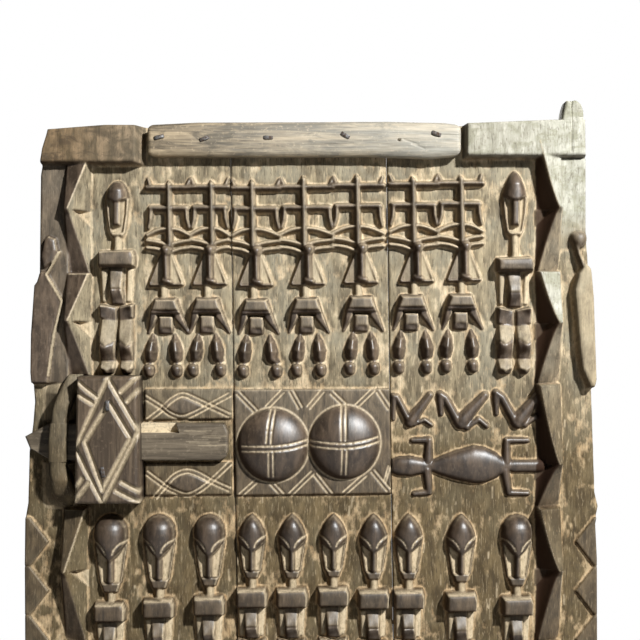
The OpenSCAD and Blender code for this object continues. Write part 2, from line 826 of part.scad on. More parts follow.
left_plank();
middle_plank();
right_plank();
top_batten();
bottom_batten();
top_batten_staples();
bottom_batten_staples();
back_staples();
lock_case();
lock_case_staples();
lock_bolt();
tumbler_left();
tumbler_middle();
tumbler_right();
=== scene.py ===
"""Looks of the carved granary door: relief meshes, hewn battens, lock, iron and wood materials.

Carving is worked out in millimetres on one raster that lies on the door's carved ground.
Depths are measured down from the door's top edge, and relief is measured out from the ground.
"""
import math

import bpy
import numpy as np
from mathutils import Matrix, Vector


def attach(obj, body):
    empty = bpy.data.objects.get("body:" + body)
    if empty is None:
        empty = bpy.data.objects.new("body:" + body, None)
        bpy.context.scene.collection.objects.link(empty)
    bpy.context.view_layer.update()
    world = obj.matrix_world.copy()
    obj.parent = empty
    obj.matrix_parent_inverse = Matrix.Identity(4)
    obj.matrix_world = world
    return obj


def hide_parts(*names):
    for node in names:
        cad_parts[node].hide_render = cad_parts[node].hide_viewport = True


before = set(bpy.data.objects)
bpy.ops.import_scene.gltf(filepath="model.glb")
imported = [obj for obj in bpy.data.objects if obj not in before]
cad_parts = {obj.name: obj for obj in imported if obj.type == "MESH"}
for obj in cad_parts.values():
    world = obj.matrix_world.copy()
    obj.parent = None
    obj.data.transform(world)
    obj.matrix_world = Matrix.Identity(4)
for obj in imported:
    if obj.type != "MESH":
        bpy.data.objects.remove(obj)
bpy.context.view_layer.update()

# ---------------- sizes, in mm
DOOR_H = 1240.0
LEFT_X, SEAM_1, SEAM_2, RIGHT_X = -950.0, -610.0, -329.0, 24.0
SEAM_GAP, SEAM_LEAN = 1.6, 18.0  # the lean is over the door's whole height
GROUND_Y, PLANK_T = 10.0, 26.0
BAR, BATTEN_H, BEVEL = 34.0, 57.0, 16.0
LEFT_BAR_END, RIGHT_BAR_END = LEFT_X + 189, -191.0
LOCK_ROW, BOLT_ROW, ANCESTOR_ROW = 448.0, 566.0, 697.0  # depths
CASE_X, CASE_W, CASE_H, CASE_PROUD = -877.0, 112.0, 222.0, 68.0
CASE_R, CASE_LOW = CASE_X + CASE_W, DOOR_H - LOCK_ROW - CASE_H
CELL = 1.1  # raster cell
GRID = 1.75  # spacing of a plank's front vertices

rng = np.random.default_rng(7)

# ---------------- raster of the carving
xs = np.arange(-996.0, 66.0, CELL)
ds = np.arange(-10.0, 1246.0, CELL)
relief = np.zeros((len(ds), len(xs)))  # mm out from the ground
polish = np.zeros_like(relief)  # 1 on dark, handled relief; some forms' tones follow how they face the light, as painted light and shade
cream = np.zeros_like(relief)  # 1 on fresh pale cuts, and on painted highlights along lit edges and ridges
bare_and_lit = np.zeros_like(relief)  # 1 on weathered bars, and on lit column planes as a painted highlight
flank_shade = np.zeros_like(relief)  # 1 where painted shade darkens a steep flank


def seam_x(seam, d):
    """Where a seam runs at a depth; both lean the same way."""
    return seam + SEAM_LEAN * d / DOOR_H


def window(x0, x1, d0, d1, pad=4.0):
    """Slices of the raster that cover a box, with the coordinates of their cells."""
    i0, i1 = np.searchsorted(xs, [x0 - pad, x1 + pad])
    j0, j1 = np.searchsorted(ds, [d0 - pad, d1 + pad])
    where = (slice(j0, j1), slice(i0, i1))
    return where, xs[i0:i1][None, :], ds[j0:j1][:, None]


def window_of(points, pad=4.0):
    """The window round a set of points."""
    across, down = zip(*points)
    return window(min(across), max(across), min(down), max(down), pad)


def at(x, d, *points, way=1):
    """Points that are given from a place, as (across, down); mirrored where way is -1."""
    return [(x + way * a, d + b) for a, b in points]


def pairwise(points):
    """Each point of a line with the next one."""
    return zip(points, points[1:])


def raise_to(where, height, tone=1.0, pale=0.0):
    """Lays a form on the raster: it shows wherever it stands higher than what is there."""
    wins = (height > relief[where]) & (height > 0.5)
    relief[where] = np.where(wins, height, relief[where])
    polish[where] = np.where(wins, tone, polish[where])
    cream[where] = np.where(wins, pale, cream[where])


def segment(x, d, a, b):
    """Distance from the line a-b, and how far along it from 0 to 1."""
    ax, ad, bx, bd = *a, *b
    run = (bx - ax) ** 2 + (bd - ad) ** 2 + 1e-9
    t = np.clip(((x - ax) * (bx - ax) + (d - ad) * (bd - ad)) / run, 0, 1)
    return np.hypot(x - ax - t * (bx - ax), d - ad - t * (bd - ad)), t


def tube(a, b, w, h, w2=None, h2=None, tone=1.0, pale=0.0, full=2.2):
    """A rounded ridge from a to b, w wide and h proud, which may change to w2 and h2."""
    w2, h2 = w if w2 is None else w2, h if h2 is None else h2
    where, x, d = window_of((a, b), max(w, w2) / 2 + 4)
    off, t = segment(x, d, a, b)
    half = (w + (w2 - w) * t) / 2
    inside = np.clip(1 - (off / half) ** full, 0, 1) ** (1 / full)
    raise_to(where, (h + (h2 - h) * t) * inside, tone, pale)


def chain(points, w, h, **look):
    """A ridge through several points."""
    for a, b in pairwise(points):
        tube(a, b, w, h, **look)


def rounded_line(points, steps=5):
    """Points along a smooth curve through these."""
    p = np.array([points[0], *points, points[-1]], float)
    out = []
    for i in range(1, len(p) - 2):
        for t in np.arange(steps) / steps:
            out.append(tuple(0.5 * (2 * p[i] + (p[i + 1] - p[i - 1]) * t
                       + (2 * p[i - 1] - 5 * p[i] + 4 * p[i + 1] - p[i + 2]) * t ** 2
                       + (3 * p[i] - p[i - 1] - 3 * p[i + 1] + p[i + 2]) * t ** 3)))
    return out + [points[-1]]


def inside_of(x, d, points):
    """Distance to a polygon's edge, positive inside it."""
    near = np.full(np.broadcast(x, d).shape, 1e9)
    odd = np.zeros(near.shape, bool)
    for (ax, ad), (bx, bd) in zip(points, points[1:] + points[:1]):
        near = np.minimum(near, segment(x, d, (ax, ad), (bx, bd))[0])
        if ad != bd:
            crosses = (ad > d) != (bd > d)
            odd ^= crosses & (x < (bx - ax) * (d - ad) / (bd - ad) + ax)
    return np.where(odd, near, -near)


def wall(inward):
    """The steep side of a form: 0 outside its outline and 1 once well inside it."""
    return np.clip((inward + 0.6) / 1.6, 0, 1)


def plate(points, h, soft=3.0, tone=1.0, pale=0.0, crown=0.0):
    """A flat form with this outline, its rim rounded over soft mm."""
    where, x, d = window_of(points)
    inward = inside_of(x, d, points)
    rim = np.sqrt(np.clip(1 - (1 - np.clip(inward / soft, 0, 1)) ** 2, 0, 1))
    high = h + crown * np.clip(inward / 12.0, 0, 1)
    raise_to(where, high * wall(inward) * (0.72 + 0.28 * rim), tone, pale)


def facet(points, heights, tone=1.0, pale=0.0):
    """A flat form with a height at each corner, blended between them."""
    where, x, d = window_of(points)
    share = [1 / (np.hypot(x - a, d - b) ** 2 + 4) for a, b in points]
    high = sum(w * h for w, h in zip(share, heights)) / sum(share)
    raise_to(where, high * wall(inside_of(x, d, points)), tone, pale)


ROUND_TOP = ([0, .04, .12, .25, .45, .62, .8, .92, 1], [0, .42, .7, .93, 1, .93, .66, .38, .06])
GOTHIC_TOP = ([0, .05, .14, .28, .45, .62, .76, .88, 1], [.02, .2, .44, .7, .9, 1, .9, .56, .1])


def egg(cx, top, w, tall, h, outline=ROUND_TOP, tone=1.0):
    """A dome with an egg's outline that narrows downwards to a tip."""
    where, x, d = window(cx - w, cx + w, top, top + tall)
    v = np.clip((d - top) / tall, 0, 1)
    half = w / 2 * np.interp(v, *outline)
    u = np.abs(x - cx) / np.maximum(half, 0.3)
    along = np.interp(v, [0, .03, .06, .12, .2, .3, .4, .5, .62, .75, .88, 1],
                      [.1, .33, .48, .69, .85, .95, .99, 1, .99, .95, .86, .72])
    high = h * along * np.clip(1 - u ** 2.3, 0, 1) ** 0.45
    raise_to(where, np.where((d > top) & (d < top + tall), high, 0), tone)


def groove(a, b, w, deep, pale=1.0):
    """A V cut from a to b into whatever is there."""
    where, x, d = window_of((a, b), w + 4)
    share = np.clip(1 - segment(x, d, a, b)[0] / (w / 2), 0, 1)
    relief[where] -= deep * share
    cream[where] = np.maximum(cream[where], pale * np.clip(share * 1.7 - 0.15, 0, 1))


def curve(points, w, deep, pale=1.0):
    """A groove along a line of points."""
    for a, b in pairwise(points):
        groove(a, b, w, deep, pale)


def double_groove(points, apart, w, deep):
    """Two cuts side by side along a line, as along every carved border."""
    for a, b in pairwise(np.array(points, float)):
        run = b - a
        side = np.array([-run[1], run[0]]) / (np.hypot(*run) + 1e-9) * apart / 2
        for way in (-1, 1):
            groove(tuple(a + way * side), tuple(b + way * side), w, deep)


def smooth(field, mm):
    """A box blur, run twice, over about mm."""
    n = max(int(round(mm / CELL)), 1)
    for axis in (0, 1, 0, 1):
        field = np.moveaxis(field, axis, 0)
        total = np.cumsum(np.pad(field, [(n + 1, n), (0, 0)], mode="edge"), axis=0)
        field = np.moveaxis((total[2 * n + 1:] - total[:-2 * n - 1]) / (2 * n + 1), 0, axis)
    return field


def cloud(wide, tall, shape=None, seed=0):
    """Smooth random values from -1 to 1, with blotches wide by tall mm."""
    shape = shape or relief.shape
    nx, nz = int(shape[1] * CELL / wide) + 3, int(shape[0] * CELL / tall) + 3
    knots = np.random.default_rng(seed).uniform(-1, 1, (nz, nx))
    u, v = np.arange(shape[1]) * CELL / wide, np.arange(shape[0]) * CELL / tall
    i, j = u.astype(int), v.astype(int)
    fu, fv = u - i, v - j
    fu, fv = fu * fu * (3 - 2 * fu), (fv * fv * (3 - 2 * fv))[:, None]
    top = knots[j][:, i] * (1 - fu) + knots[j][:, i + 1] * fu
    low = knots[j + 1][:, i] * (1 - fu) + knots[j + 1][:, i + 1] * fu
    return top * (1 - fv) + low * fv


def scoops(wide, tall, seed=0):
    """Distance to the middle of the nearest chisel cut, 0 to about 1."""
    x = xs[None, :] / wide
    d = ds[:, None] / tall
    i, j = np.floor(x).astype(int), np.floor(d).astype(int)
    best = np.full(relief.shape, 9.0)
    table = np.random.default_rng(seed).uniform(0, 1, (256, 256, 2))
    for di in (-1, 0, 1):
        for dj in (-1, 0, 1):
            spot = table[(i + di) % 256, (j + dj) % 256]
            best = np.minimum(best, (x - i - di - spot[..., 0]) ** 2
                              + (d - j - dj - spot[..., 1]) ** 2)
    return np.sqrt(best)


# ---------------- figures
def cap(x, top, low, w, h, point):
    """Smooth cap that overhangs the face, round or pointed above and shallow-V below."""
    where, u, v = window(x - w, x + w, top, low + 6)
    t = np.clip((v - top) / (low - top), 0, 1.2)
    half = w / 2 * np.clip(1 - (1 - np.clip(t, 0, 1)) ** point, 0.03, 1) ** (1 / point)
    off = np.abs(u - x) / half
    floor = low + 4 - 9 * (np.abs(u - x) / (w / 2)) ** 1.6
    high = h * np.clip(1 - off ** 2.4, 0, 1) ** 0.5 * np.clip(1.25 - 0.9 * (1 - t) ** 2, 0.3, 1)
    raise_to(where, high * np.clip((floor - v) / 2.0, 0, 1) * (v > top))


def standing_head(x, d, tall, w, nose, chin, point):
    """Cap over a long shield-shaped face with a raised rim, a block nose and a notched chin."""
    low = d + tall
    rim = [(w * .49, low - 3), (w * .44, low + 26), (w * .32, d + chin - 8), (w * .2, d + chin)]
    plate(at(x, 0, *rim, way=-1) + at(x, 0, *rim[::-1]), 9, soft=4, tone=0.15, pale=0.6)
    inner = [(a * .92, b) for a, b in rim]
    for way in (-1, 1):
        chain(at(x, 0, *inner, way=way), 5.5, 15, tone=0.55, pale=0.2)
    tube(*at(x, d, (-w * .2, chin - 3), (w * .2, chin - 3)), 7, 18, tone=0.2, pale=0.6)
    plate(at(x, d, (-w * .17, tall - 2), (w * .19, tall - 2), (w * .17, nose), (-w * .17, nose)),
          24, soft=4, crown=2, tone=0.7)
    cap(x, d, low, w, 30, point)


def standing_body(x, d, neck, block, waist, hips, knees, ankles, soles, w=33.0):
    """Block shoulders, tapering torso, V hips and two heavy legs that meet at a groove."""
    top, low = block
    tube(*at(x, d, (0, neck), (0, top + 4)), 15, 13, 17, 16, tone=0.2, pale=0.55)
    plate(at(x, d, (-w, top + 2), (w - 4, top), (w, top + 12), (w - 1, low), (-w, low)), 32,
          soft=6, crown=2, tone=0.6)
    shin = low + 0.6 * (waist - low)
    chest, belly = low + 3, waist - 4
    # painted light and shade: the upper torso facet, turned up to the light, takes a paler tone
    # than the lower one turned down
    for points, heights, tone, pale in (
            (((3 - w, chest), (15 - w, chest), (13 - w, belly), (5 - w, belly)),
             (16, 12, 8, 10), 0.3, 0.5),
            (((w - 16, chest), (w - 5, chest), (w - 8, belly), (w - 18, belly)),
             (9, 8, 6, 7), 0.1, 0.8),
            (((-15, low + 1), (12, low + 1), (10, shin), (-12, shin)), (14, 12, 25, 27), 0.6, 0.1),
            (((-12, shin - 1), (10, shin - 1), (13, waist), (-11, waist)), (27, 25, 9, 9), 0.9, 0)):
        facet(at(x, d, *points), heights, tone, pale)
    for way, far, near in ((-1, w - 2, 1.5), (1, w - 4, 2.5)):
        mid = (near + far) / 2
        # painted light and shade: thighs and the tops of feet, turned up to the light, take pale
        # tones; hips, calves and soles, turned down, dark ones
        for points, heights, tone, pale in (
                (((near, waist + 5), (far, waist), (far, hips - 3), (mid, hips + 2),
                  (near, hips + 2)), (12, 29, 17, 11, 9), 0.95, 0),
                (((near, hips), (far - 2, hips - 1), (far, knees - 5), (mid + 4, knees + 3),
                  (near, knees - 8)), (9, 12, 27, 32, 20), 0.35, 0.3),
                (((near, knees - 9), (mid + 4, knees + 2), (far, knees - 6), (far - 1, ankles),
                  (near + 3, ankles)), (20, 32, 27, 9, 9), 0.9, 0),
                (((near + 2, ankles), (far, ankles), (far - 1, soles - 9), (mid + 3, soles - 4),
                  (near + 3, soles - 9)), (7, 7, 23, 25, 22), 0.45, 0.3),
                (((near + 3, soles - 10), (mid + 3, soles - 5), (far - 1, soles - 10),
                  (far - 6, soles), (near + 7, soles)), (22, 25, 23, 9, 9), 0.9, 0)):
            facet(at(x, d, *points, way=way), heights, tone, pale)


# ---------------- dancers with tall masks
def arc(a, b, bow):
    """A ridge from a to b that bows up or down between them."""
    mid = ((a[0] + b[0]) / 2, (a[1] + b[1]) / 2 - bow)
    chain(rounded_line([a, mid, b], 3), 8.0, 16, tone=0.55, pale=0.3)


def mask_cross(x, d, top, left, right):
    """Post, two bars with turned ends, and the arcs to the node shared with the neighbour."""
    tube(*at(x, d, (-1, top - 3), (0, top + 8)), 3, 10, 12, 20, tone=0.65)
    tube(*at(x, d, (0, top + 6), (2, 114)), 12, 21, 13, 21, tone=0.55)
    for way, reach in ((-1, left), (1, right)):
        turn, node = reach - 6, reach - 1.5
        for a, b, *sizes in (((0, 10), (reach, 10), 10.5, 18),
                             ((turn, 9), (reach - 1, -6), 10, 17, 6, 9),
                             ((0, 47), (turn, 47), 11, 18),
                             ((turn - 1, 48), (turn, 66), 9.5, 18, 9, 17),
                             ((turn, 66), (reach - 2, 82), 9, 17, 7, 12)):
            tube(*at(x, d, a, b, way=way), *sizes, tone=0.65)
        for near, far, bow in ((83, 96, 3), (114, 105, 1.5), (128, 118, 2.5)):
            arc(*at(x, d, (0, near), (reach, far), way=way), bow)
        tube(*at(x, d, (node, 95), (node, 105), way=way), 5, 9, tone=0.4, pale=0.5)


def mask_face(x, d):
    """Roof-shaped face: a nose ridge below a knob, two sloping planes inside thin rims."""
    # painted light and shade: the right plane and rim, turned to the key light, take pale tones and
    # the left ones dark
    for way, wide, tone, pale in ((1, 30, 0.15, 0.4), (-1, 29, 0.5, 0.15)):
        facet(at(x, d, (0, 124), (9, 130), (wide, 183), (0, 183), way=way), (14, 11, 8, 12),
              tone, pale)
    for a, b, sizes, tone, pale in (((9, 128), (30, 183), (4.5, 14, 5, 14), 0.3, 0.6),
                                    ((-9, 130), (-29, 183), (4.5, 14, 5, 14), 0.7, 0),
                                    ((-28, 184), (29, 183), (6, 15), 0.8, 0),
                                    ((1, 126), (2, 172), (14, 29, 13, 29), 0.95, 0),
                                    ((-2, 176), (8, 179), (13, 27, 12, 24), 0.95, 0),
                                    ((-5, 184), (-4, 212), (15, 12), 0.25, 0.5)):
        tube(*at(x, d, a, b), *sizes, tone=tone, pale=pale)
    egg(x + 2, d + 112, 22, 22, 34, tone=0.9)


def dancer(x, d, legs):
    """Trapezoid shoulders, hanging arms, waist block and bent legs on ball feet."""
    plate(at(x, d, (-27, 210), (27, 210), (27, 243), (-27, 243)), 2, soft=9, tone=0.0, pale=0.3)
    for way, far in ((-1, 34), (1, 42)):
        facet(at(x, d, (15, 222), (27, 232), (far, 271), (far - 3, 273), (15, 243), way=way),
              (22, 20, 6, 6, 18), tone=0.95)
    # painted light and shade: the waist block's face is pale and its downturned lower facet dark
    plate(at(x, d, (-13, 240), (13, 240), (13, 258), (11, 262), (-11, 262), (-13, 258)), 17,
          soft=6, tone=0.6, pale=0.1)
    facet(at(x, d, (-13, 258), (13, 258), (12, 272), (-14, 272)), (17, 17, 7, 7), tone=0.95)
    facet(at(x, d, (-20, 208), (20, 208), (28, 236), (-28, 236)), (18, 18, 27, 27))
    plate(at(x, d, (-18.5, 210), (18.5, 210), (25.5, 231), (-25.5, 231)), 30, soft=3.5, tone=0.55)
    for way, knee, foot in legs:
        line = [(knee - 2, 274, 6, 6), (knee - 1, 288, 18, 19), (knee + 1, 303, 24, 24),
                (knee + 1.5, 314, 21, 18), (foot - 1, 322, 14, 10)]
        for (*a, w1, h1), (*b, w2, h2) in pairwise(line):
            tube(*at(x, d, a, b, way=way), w1, h1, w2, h2, tone=0.95, full=1.45)
        mid = x + way * foot
        tube(*at(mid, d, (-6, 325), (6, 325)), 5, 7, tone=0.0, pale=0.95)
        tube(*at(mid, d, (-1, 335), (0, 341)), 20, 19, 18, 17)


MASKS = (  # post, row, post top, reach left and right, face, body, knees and feet
    (-719, 102, 0, 39, 38, -5, -5, (-1, 26, 30), (1, 17, 20)),
    (-643, 101, 0, 37, 31, -3, -7, (-1, 19, 25), (1, 17, 24)),
    (-570, 103, -3, 37, 50, 7, 8, (-1, 20, 23), (1, 26, 37)),
    (-478, 101, -8, 41, 53, 8, 6, (-1, 14, 17), (1, 22, 26)),
    (-382, 98, -7, 43, 47, 7, 8, (-1, 17, 20), (1, 19, 24)),
    (-282, 96, -2, 42, 45, 7, -2, (-1, 21, 22), (1, 27, 28)),
    (-196, 94, -2, 41, 39, 6, 0, (-1, 24, 25), (1, 21, 23)))


BROW = ((.10, 1.12), (.15, .98), (.24, .87), (.34, .80), (.48, .78))
LID = ((.16, 1.14), (.26, 1.06), (.36, .97), (.45, .87))
BROAD_HEAD = 55.0  # wider heads are round on top, the others are pointed


def ancestor(x, d, w):
    """Large head with crescent eyes and a long nose, on a standing figure's body."""
    def scaled(*points, way=1):
        return at(x, d, *[(w * a, w * b) for a, b in points], way=way)

    s = w / 50.0
    plate(scaled((-.47, .78), (.47, .78), (.3, 2.05), (-.3, 2.05)), 8, tone=0.1, pale=0.75)
    for way in (-1, 1):
        tube(*scaled((.45, .9), (.29, 2.0), way=way), 5, 11, tone=.5)
    egg(x, d, w, 1.36 * w, 30 * s, ROUND_TOP if w > BROAD_HEAD else GOTHIC_TOP)
    tube(*scaled((0, 1.3), (0, 1.93)), 11 * s, 24, 12 * s, 22)
    for way in (-1, 1):
        curve(scaled(*BROW, way=way), 4.0, 3.4)
        curve(scaled(*LID, way=way), 3.4, 3.0, pale=.0)
    plate(scaled((-.3, 2.0), (.3, 2.0), (.2, 2.3), (-.2, 2.3)), 16, tone=0.6)
    standing_body(x, d + w * 2.3, neck=0, block=(16, 50), waist=108, hips=138, knees=178,
                  ankles=214, soles=240, w=28)


LEGS = (  # hanging foot, shin, thigh, planted foot, size; from the seam and the row's top
    (((13, 38), (12.5, 79)), ((19, 39), (42, 84)), ((45, 80), (79, 35)),
     ((50, 87), (69, 80), (81, 89)), 0.8),
    (((97, 35), (98.5, 70)), ((106, 41), (129, 83)), ((137, 80), (177, 36)),
     ((145, 93), (166, 79), (180, 91)), 1.0),
    (((197, 32), (198, 69)), ((208, 40), (232, 84)), ((239, 79), (279, 28)),
     ((249, 88), (270, 74), (281, 86)), 1.0))


def bent_legs(x, d):
    """Three bent legs, each with a hanging foot on its left and a planted foot on its right."""
    for *parts, big in LEGS:
        hang, shin, thigh, foot = [at(x, d, *part) for part in parts]
        knee = (thigh[0][0] - 3, thigh[0][1] + 6 * big)
        tube(*hang, 15 * big, 12, 9 * big, 8)
        tube(hang[0], shin[0], 14 * big, 13)
        tube(*shin, 14 * big, 13, 16 * big, 14)
        tube(shin[1], knee, 17 * big, 14, 20 * big, 15)
        tube(knee, thigh[0], 22 * big, 15, 25 * big, 17)
        tube(*thigh, 26 * big, 17, 15 * big, 14)
        tube(knee, foot[0], 13 * big, 11)
        chain(foot, 10 * big, 10)


CROC_HALF = ([0, 6, 16, 38, 58, 68, 75, 95, 122, 152, 172, 194, 207, 216, 222, 272, 280, 284],
             [5, 13, 17, 18.5, 14, 8, 9, 18, 27, 34, 32, 22, 10, 9, 11.5, 11.5, 8, 2])
CROC_HIGH = ([0, 8, 22, 36, 52, 68, 90, 112, 132, 148, 164, 184, 205, 215, 275, 284],
             [4, 11, 14.5, 16, 15, 11, 14, 18, 20.5, 21, 20.3, 17.5, 13, 12, 12, 5])
CROC_LEGS = (((70, -10), (72, -46), (42, -45)), ((68, 8), (72, 48), (45, 51)),
             ((211, -6), (211, -45), (249, -45)), ((208, 8), (215, 49), (249, 50)))


def crocodile(x, d):
    """Seen from above, its head towards the seam, legs bent away from the body."""
    where, u, v = window(x, x + 285, d - 40, d + 40)
    half = np.interp(u - x, *CROC_HALF, left=0.5, right=0.5)
    off = np.abs(v - d - np.interp(u - x, [0, 75, 150, 222, 285], [1, 1, -2, 1, 1])) / half
    body = np.interp(u - x, *CROC_HIGH) * np.clip(1 - off ** 2.4, 0, 1) ** .42
    raise_to(where, np.where((u > x) & (u < x + 284), body, 0))
    for leg in CROC_LEGS:
        hip, knee, foot = at(x, d, *leg)
        tube(hip, knee, 17, 13, 12, 11)
        tube(knee, foot, 12, 10, 10, 9)


def column(x, way, figures, tones, heights, steep=1.0, hollow=1.0):
    """Bent figures in profile: a plane slopes to the outer side, a steep flank to the inner.

    Tones are painted light and shade: faces turned from the key light are dark, faces turned to it
    pale.
    Steep flanks get painted shade, the lit planes above the lock get the pale bare tone as a
    painted highlight, and a painted highlight line runs down the ridge.
    """
    w = 42.0
    upper, lower, inner = tones
    for top, length, elbow in figures:
        where, u, v = window(x - 66, x + 66, top, top + length, pad=0)
        t = v - top
        across = way * (u - x)  # grows towards the flank, 0 at the outer side
        bend = np.where(t < elbow, 1 - t / elbow, (t - elbow) / (length - elbow))
        ridge = 5 + (w - 7) * np.clip(bend, 0, 1) ** hollow
        high = np.interp(t, [0, elbow * .6, elbow, elbow + 10, length], heights)
        plane = high - 0.36 * (ridge - across)
        flank = np.clip((w + 1 - across) / np.maximum(w + 1 - ridge, 1.0), 0, 1) ** steep * high
        notch = (t > elbow + 2) & (t < elbow + 3 + 1.05 * (across - 14)) & (across > 13)
        form = np.where(notch, 4, np.where(across < ridge, plane, flank))
        outer = np.interp(t, [0, elbow, length], [1, -2, 2])
        form = np.where((across > outer - 3) & (across < w + 1), np.maximum(form, 0), 0)
        form = form * np.clip((across - outer + 3) / 2.5, 0, 1) * np.clip((length - t) / 1.5, 0, 1)
        # painted light and shade: each face's tone follows how it turns to the key light
        tone = np.where(across > ridge, inner, np.where(t < elbow, upper, lower))
        raise_to(where, form, tone)
        wins = (form > 0.5) & (form >= relief[where])
        # a painted highlight line along the ridge; below, painted shade on steep flanks, the bare
        # tone as a painted highlight on lit planes above the lock, and a pale notch
        line = (np.abs(across - ridge) < 1.3) & (t < elbow)
        for layer, mask, value in ((flank_shade, (steep > 1) & (across >= ridge), 1.0),
                                   (bare_and_lit, (steep > 1) & (across < ridge) & (t < elbow)
                                    & (top < LOCK_ROW), 1.0),
                                   (cream, notch, 0.7), (cream, line, 0.6)):
            layer[where] = np.where(mask & wins, value, layer[where])


FISH_BANDS = (((3, 39), (33, 58), (50, 70), (70, 76), (89, 70), (116, 56), (155, 35)),
              ((7, 82), (35, 60), (52, 44), (71, 35), (91, 42), (116, 54), (155, 72)),
              ((6, 175), (39, 199), (59, 209), (79, 215), (100, 207), (122, 190), (156, 158)),
              ((21, 220), (39, 199), (57, 180), (79, 172), (100, 178), (122, 190), (155, 205)))


def fish_panels():
    """Two raised panels: two double bands weave round a crowned, eye-shaped fish."""
    left, right = CASE_R + 2, SEAM_1 + 4
    for top, tall, cx, cd in ((25, 56, 70, 56), (157, 60, 80, 192)):
        d = LOCK_ROW + top
        plate([(left, d), (right, d - 1), (right, d + tall - 2), (left, d + tall)], 8, soft=1.5,
              tone=0.33)
        cx, cd = CASE_R + cx, LOCK_ROW + cd
        where, u, v = window(cx - 40, cx + 40, cd - 24, cd + 24)
        lens = 19 * np.clip(1 - ((u - cx) / 38.0) ** 2, 0, 1)
        s = np.clip(1 - (np.abs(v - cd) / np.maximum(lens, .2)) ** 2, 0, 1)
        raise_to(where, np.where(s > 0, 8 + 3.5 * s ** .5, 0), tone=0.6)
    for band in FISH_BANDS:
        double_groove(rounded_line(at(CASE_R, LOCK_ROW, *band)), 7.5, 4.2, 3.6)


CHEVRONS = (((10, 32), (44, 67)), ((90, 29), (62, 58)), ((105, 28), (122, 59)),
            ((162, 28), (137, 58)), ((178, 31), (201, 53)), ((254, 25), (223, 55)),
            ((262, 29), (282, 60)), ((15, 215), (42, 191)), ((90, 215), (70, 193)),
            ((104, 214), (144, 175)), ((149, 178), (177, 214)), ((201, 212), (239, 178)),
            ((252, 172), (280, 206)), ((276, 192), (284, 163)))


def chevrons():
    """Pairs of cuts in zigzag above and below the breasts; steep pairs lie closer together."""
    for a, b in CHEVRONS:
        apart = 11 if abs(a[0] - b[0]) > 12 else 6
        double_groove(at(SEAM_1 + apart * .45, LOCK_ROW, a, b), apart * .66, 3.8, 3.4)


BREASTS = (  # middle and radius, the cuts down it, the band across it
    (78, 7, 65, (((78, -57), (73, -20), (71, 1)), ((75, 19), (75, 62))),
     ((24, 12), (93, 9.5), (141, 1))),
    (206, 2, 65, (((204, -64), (203.5, -4)), ((205.5, 14), (204.5, 58))),
     ((145, 2), (207, 6), (266, -4))))


def breasts():
    """Two domes, each with a double cut down it and another across."""
    for cx, cd, r, cuts, band in BREASTS:
        x, d = SEAM_1 + cx, BOLT_ROW + cd
        where, u, v = window(x - r, x + r, d - r * 1.05, d + r * 1.05)
        off = np.hypot(u - x, (v - d) * 0.965) / (r - 1.5)
        raise_to(where, np.where(off < 1, 8 + 33 * np.clip(1 - off ** 2.1, 0, 1) ** .55, 0))
        ring = np.abs(off - 1.025) * r
        cream[where] = np.maximum(cream[where], .9 * np.clip(1 - ring / 2.6, 0, 1))
        for line in cuts:
            double_groove(at(SEAM_1, BOLT_ROW, *line), 8.0, 4.2, 3.0)
        double_groove(rounded_line(at(SEAM_1, BOLT_ROW, *band)), 9.0, 4.2, 3.0)


def edge_triangles(x, way, d0):
    """Dark half diamonds that run down an outer edge beside the lowest row."""
    for i in range(6):
        plate(at(x, d0 + i * 88, (0, 0), (34, 44), (0, 88), (-30, 88), (-30, 0), way=way), 8,
              soft=3, tone=0.4)


def scratches(count):
    """Short strokes of the adze and later knocks, mostly along the grain."""
    for _ in range(count):
        x, d = rng.uniform(-930, 0), rng.uniform(300, 1160)
        long, lean = rng.uniform(4, 22), rng.normal(0, 0.08)
        groove((x, d), (x + lean * long, d + long), rng.uniform(2.4, 3.6), rng.uniform(.4, 1.3),
               pale=rng.uniform(0, .8))


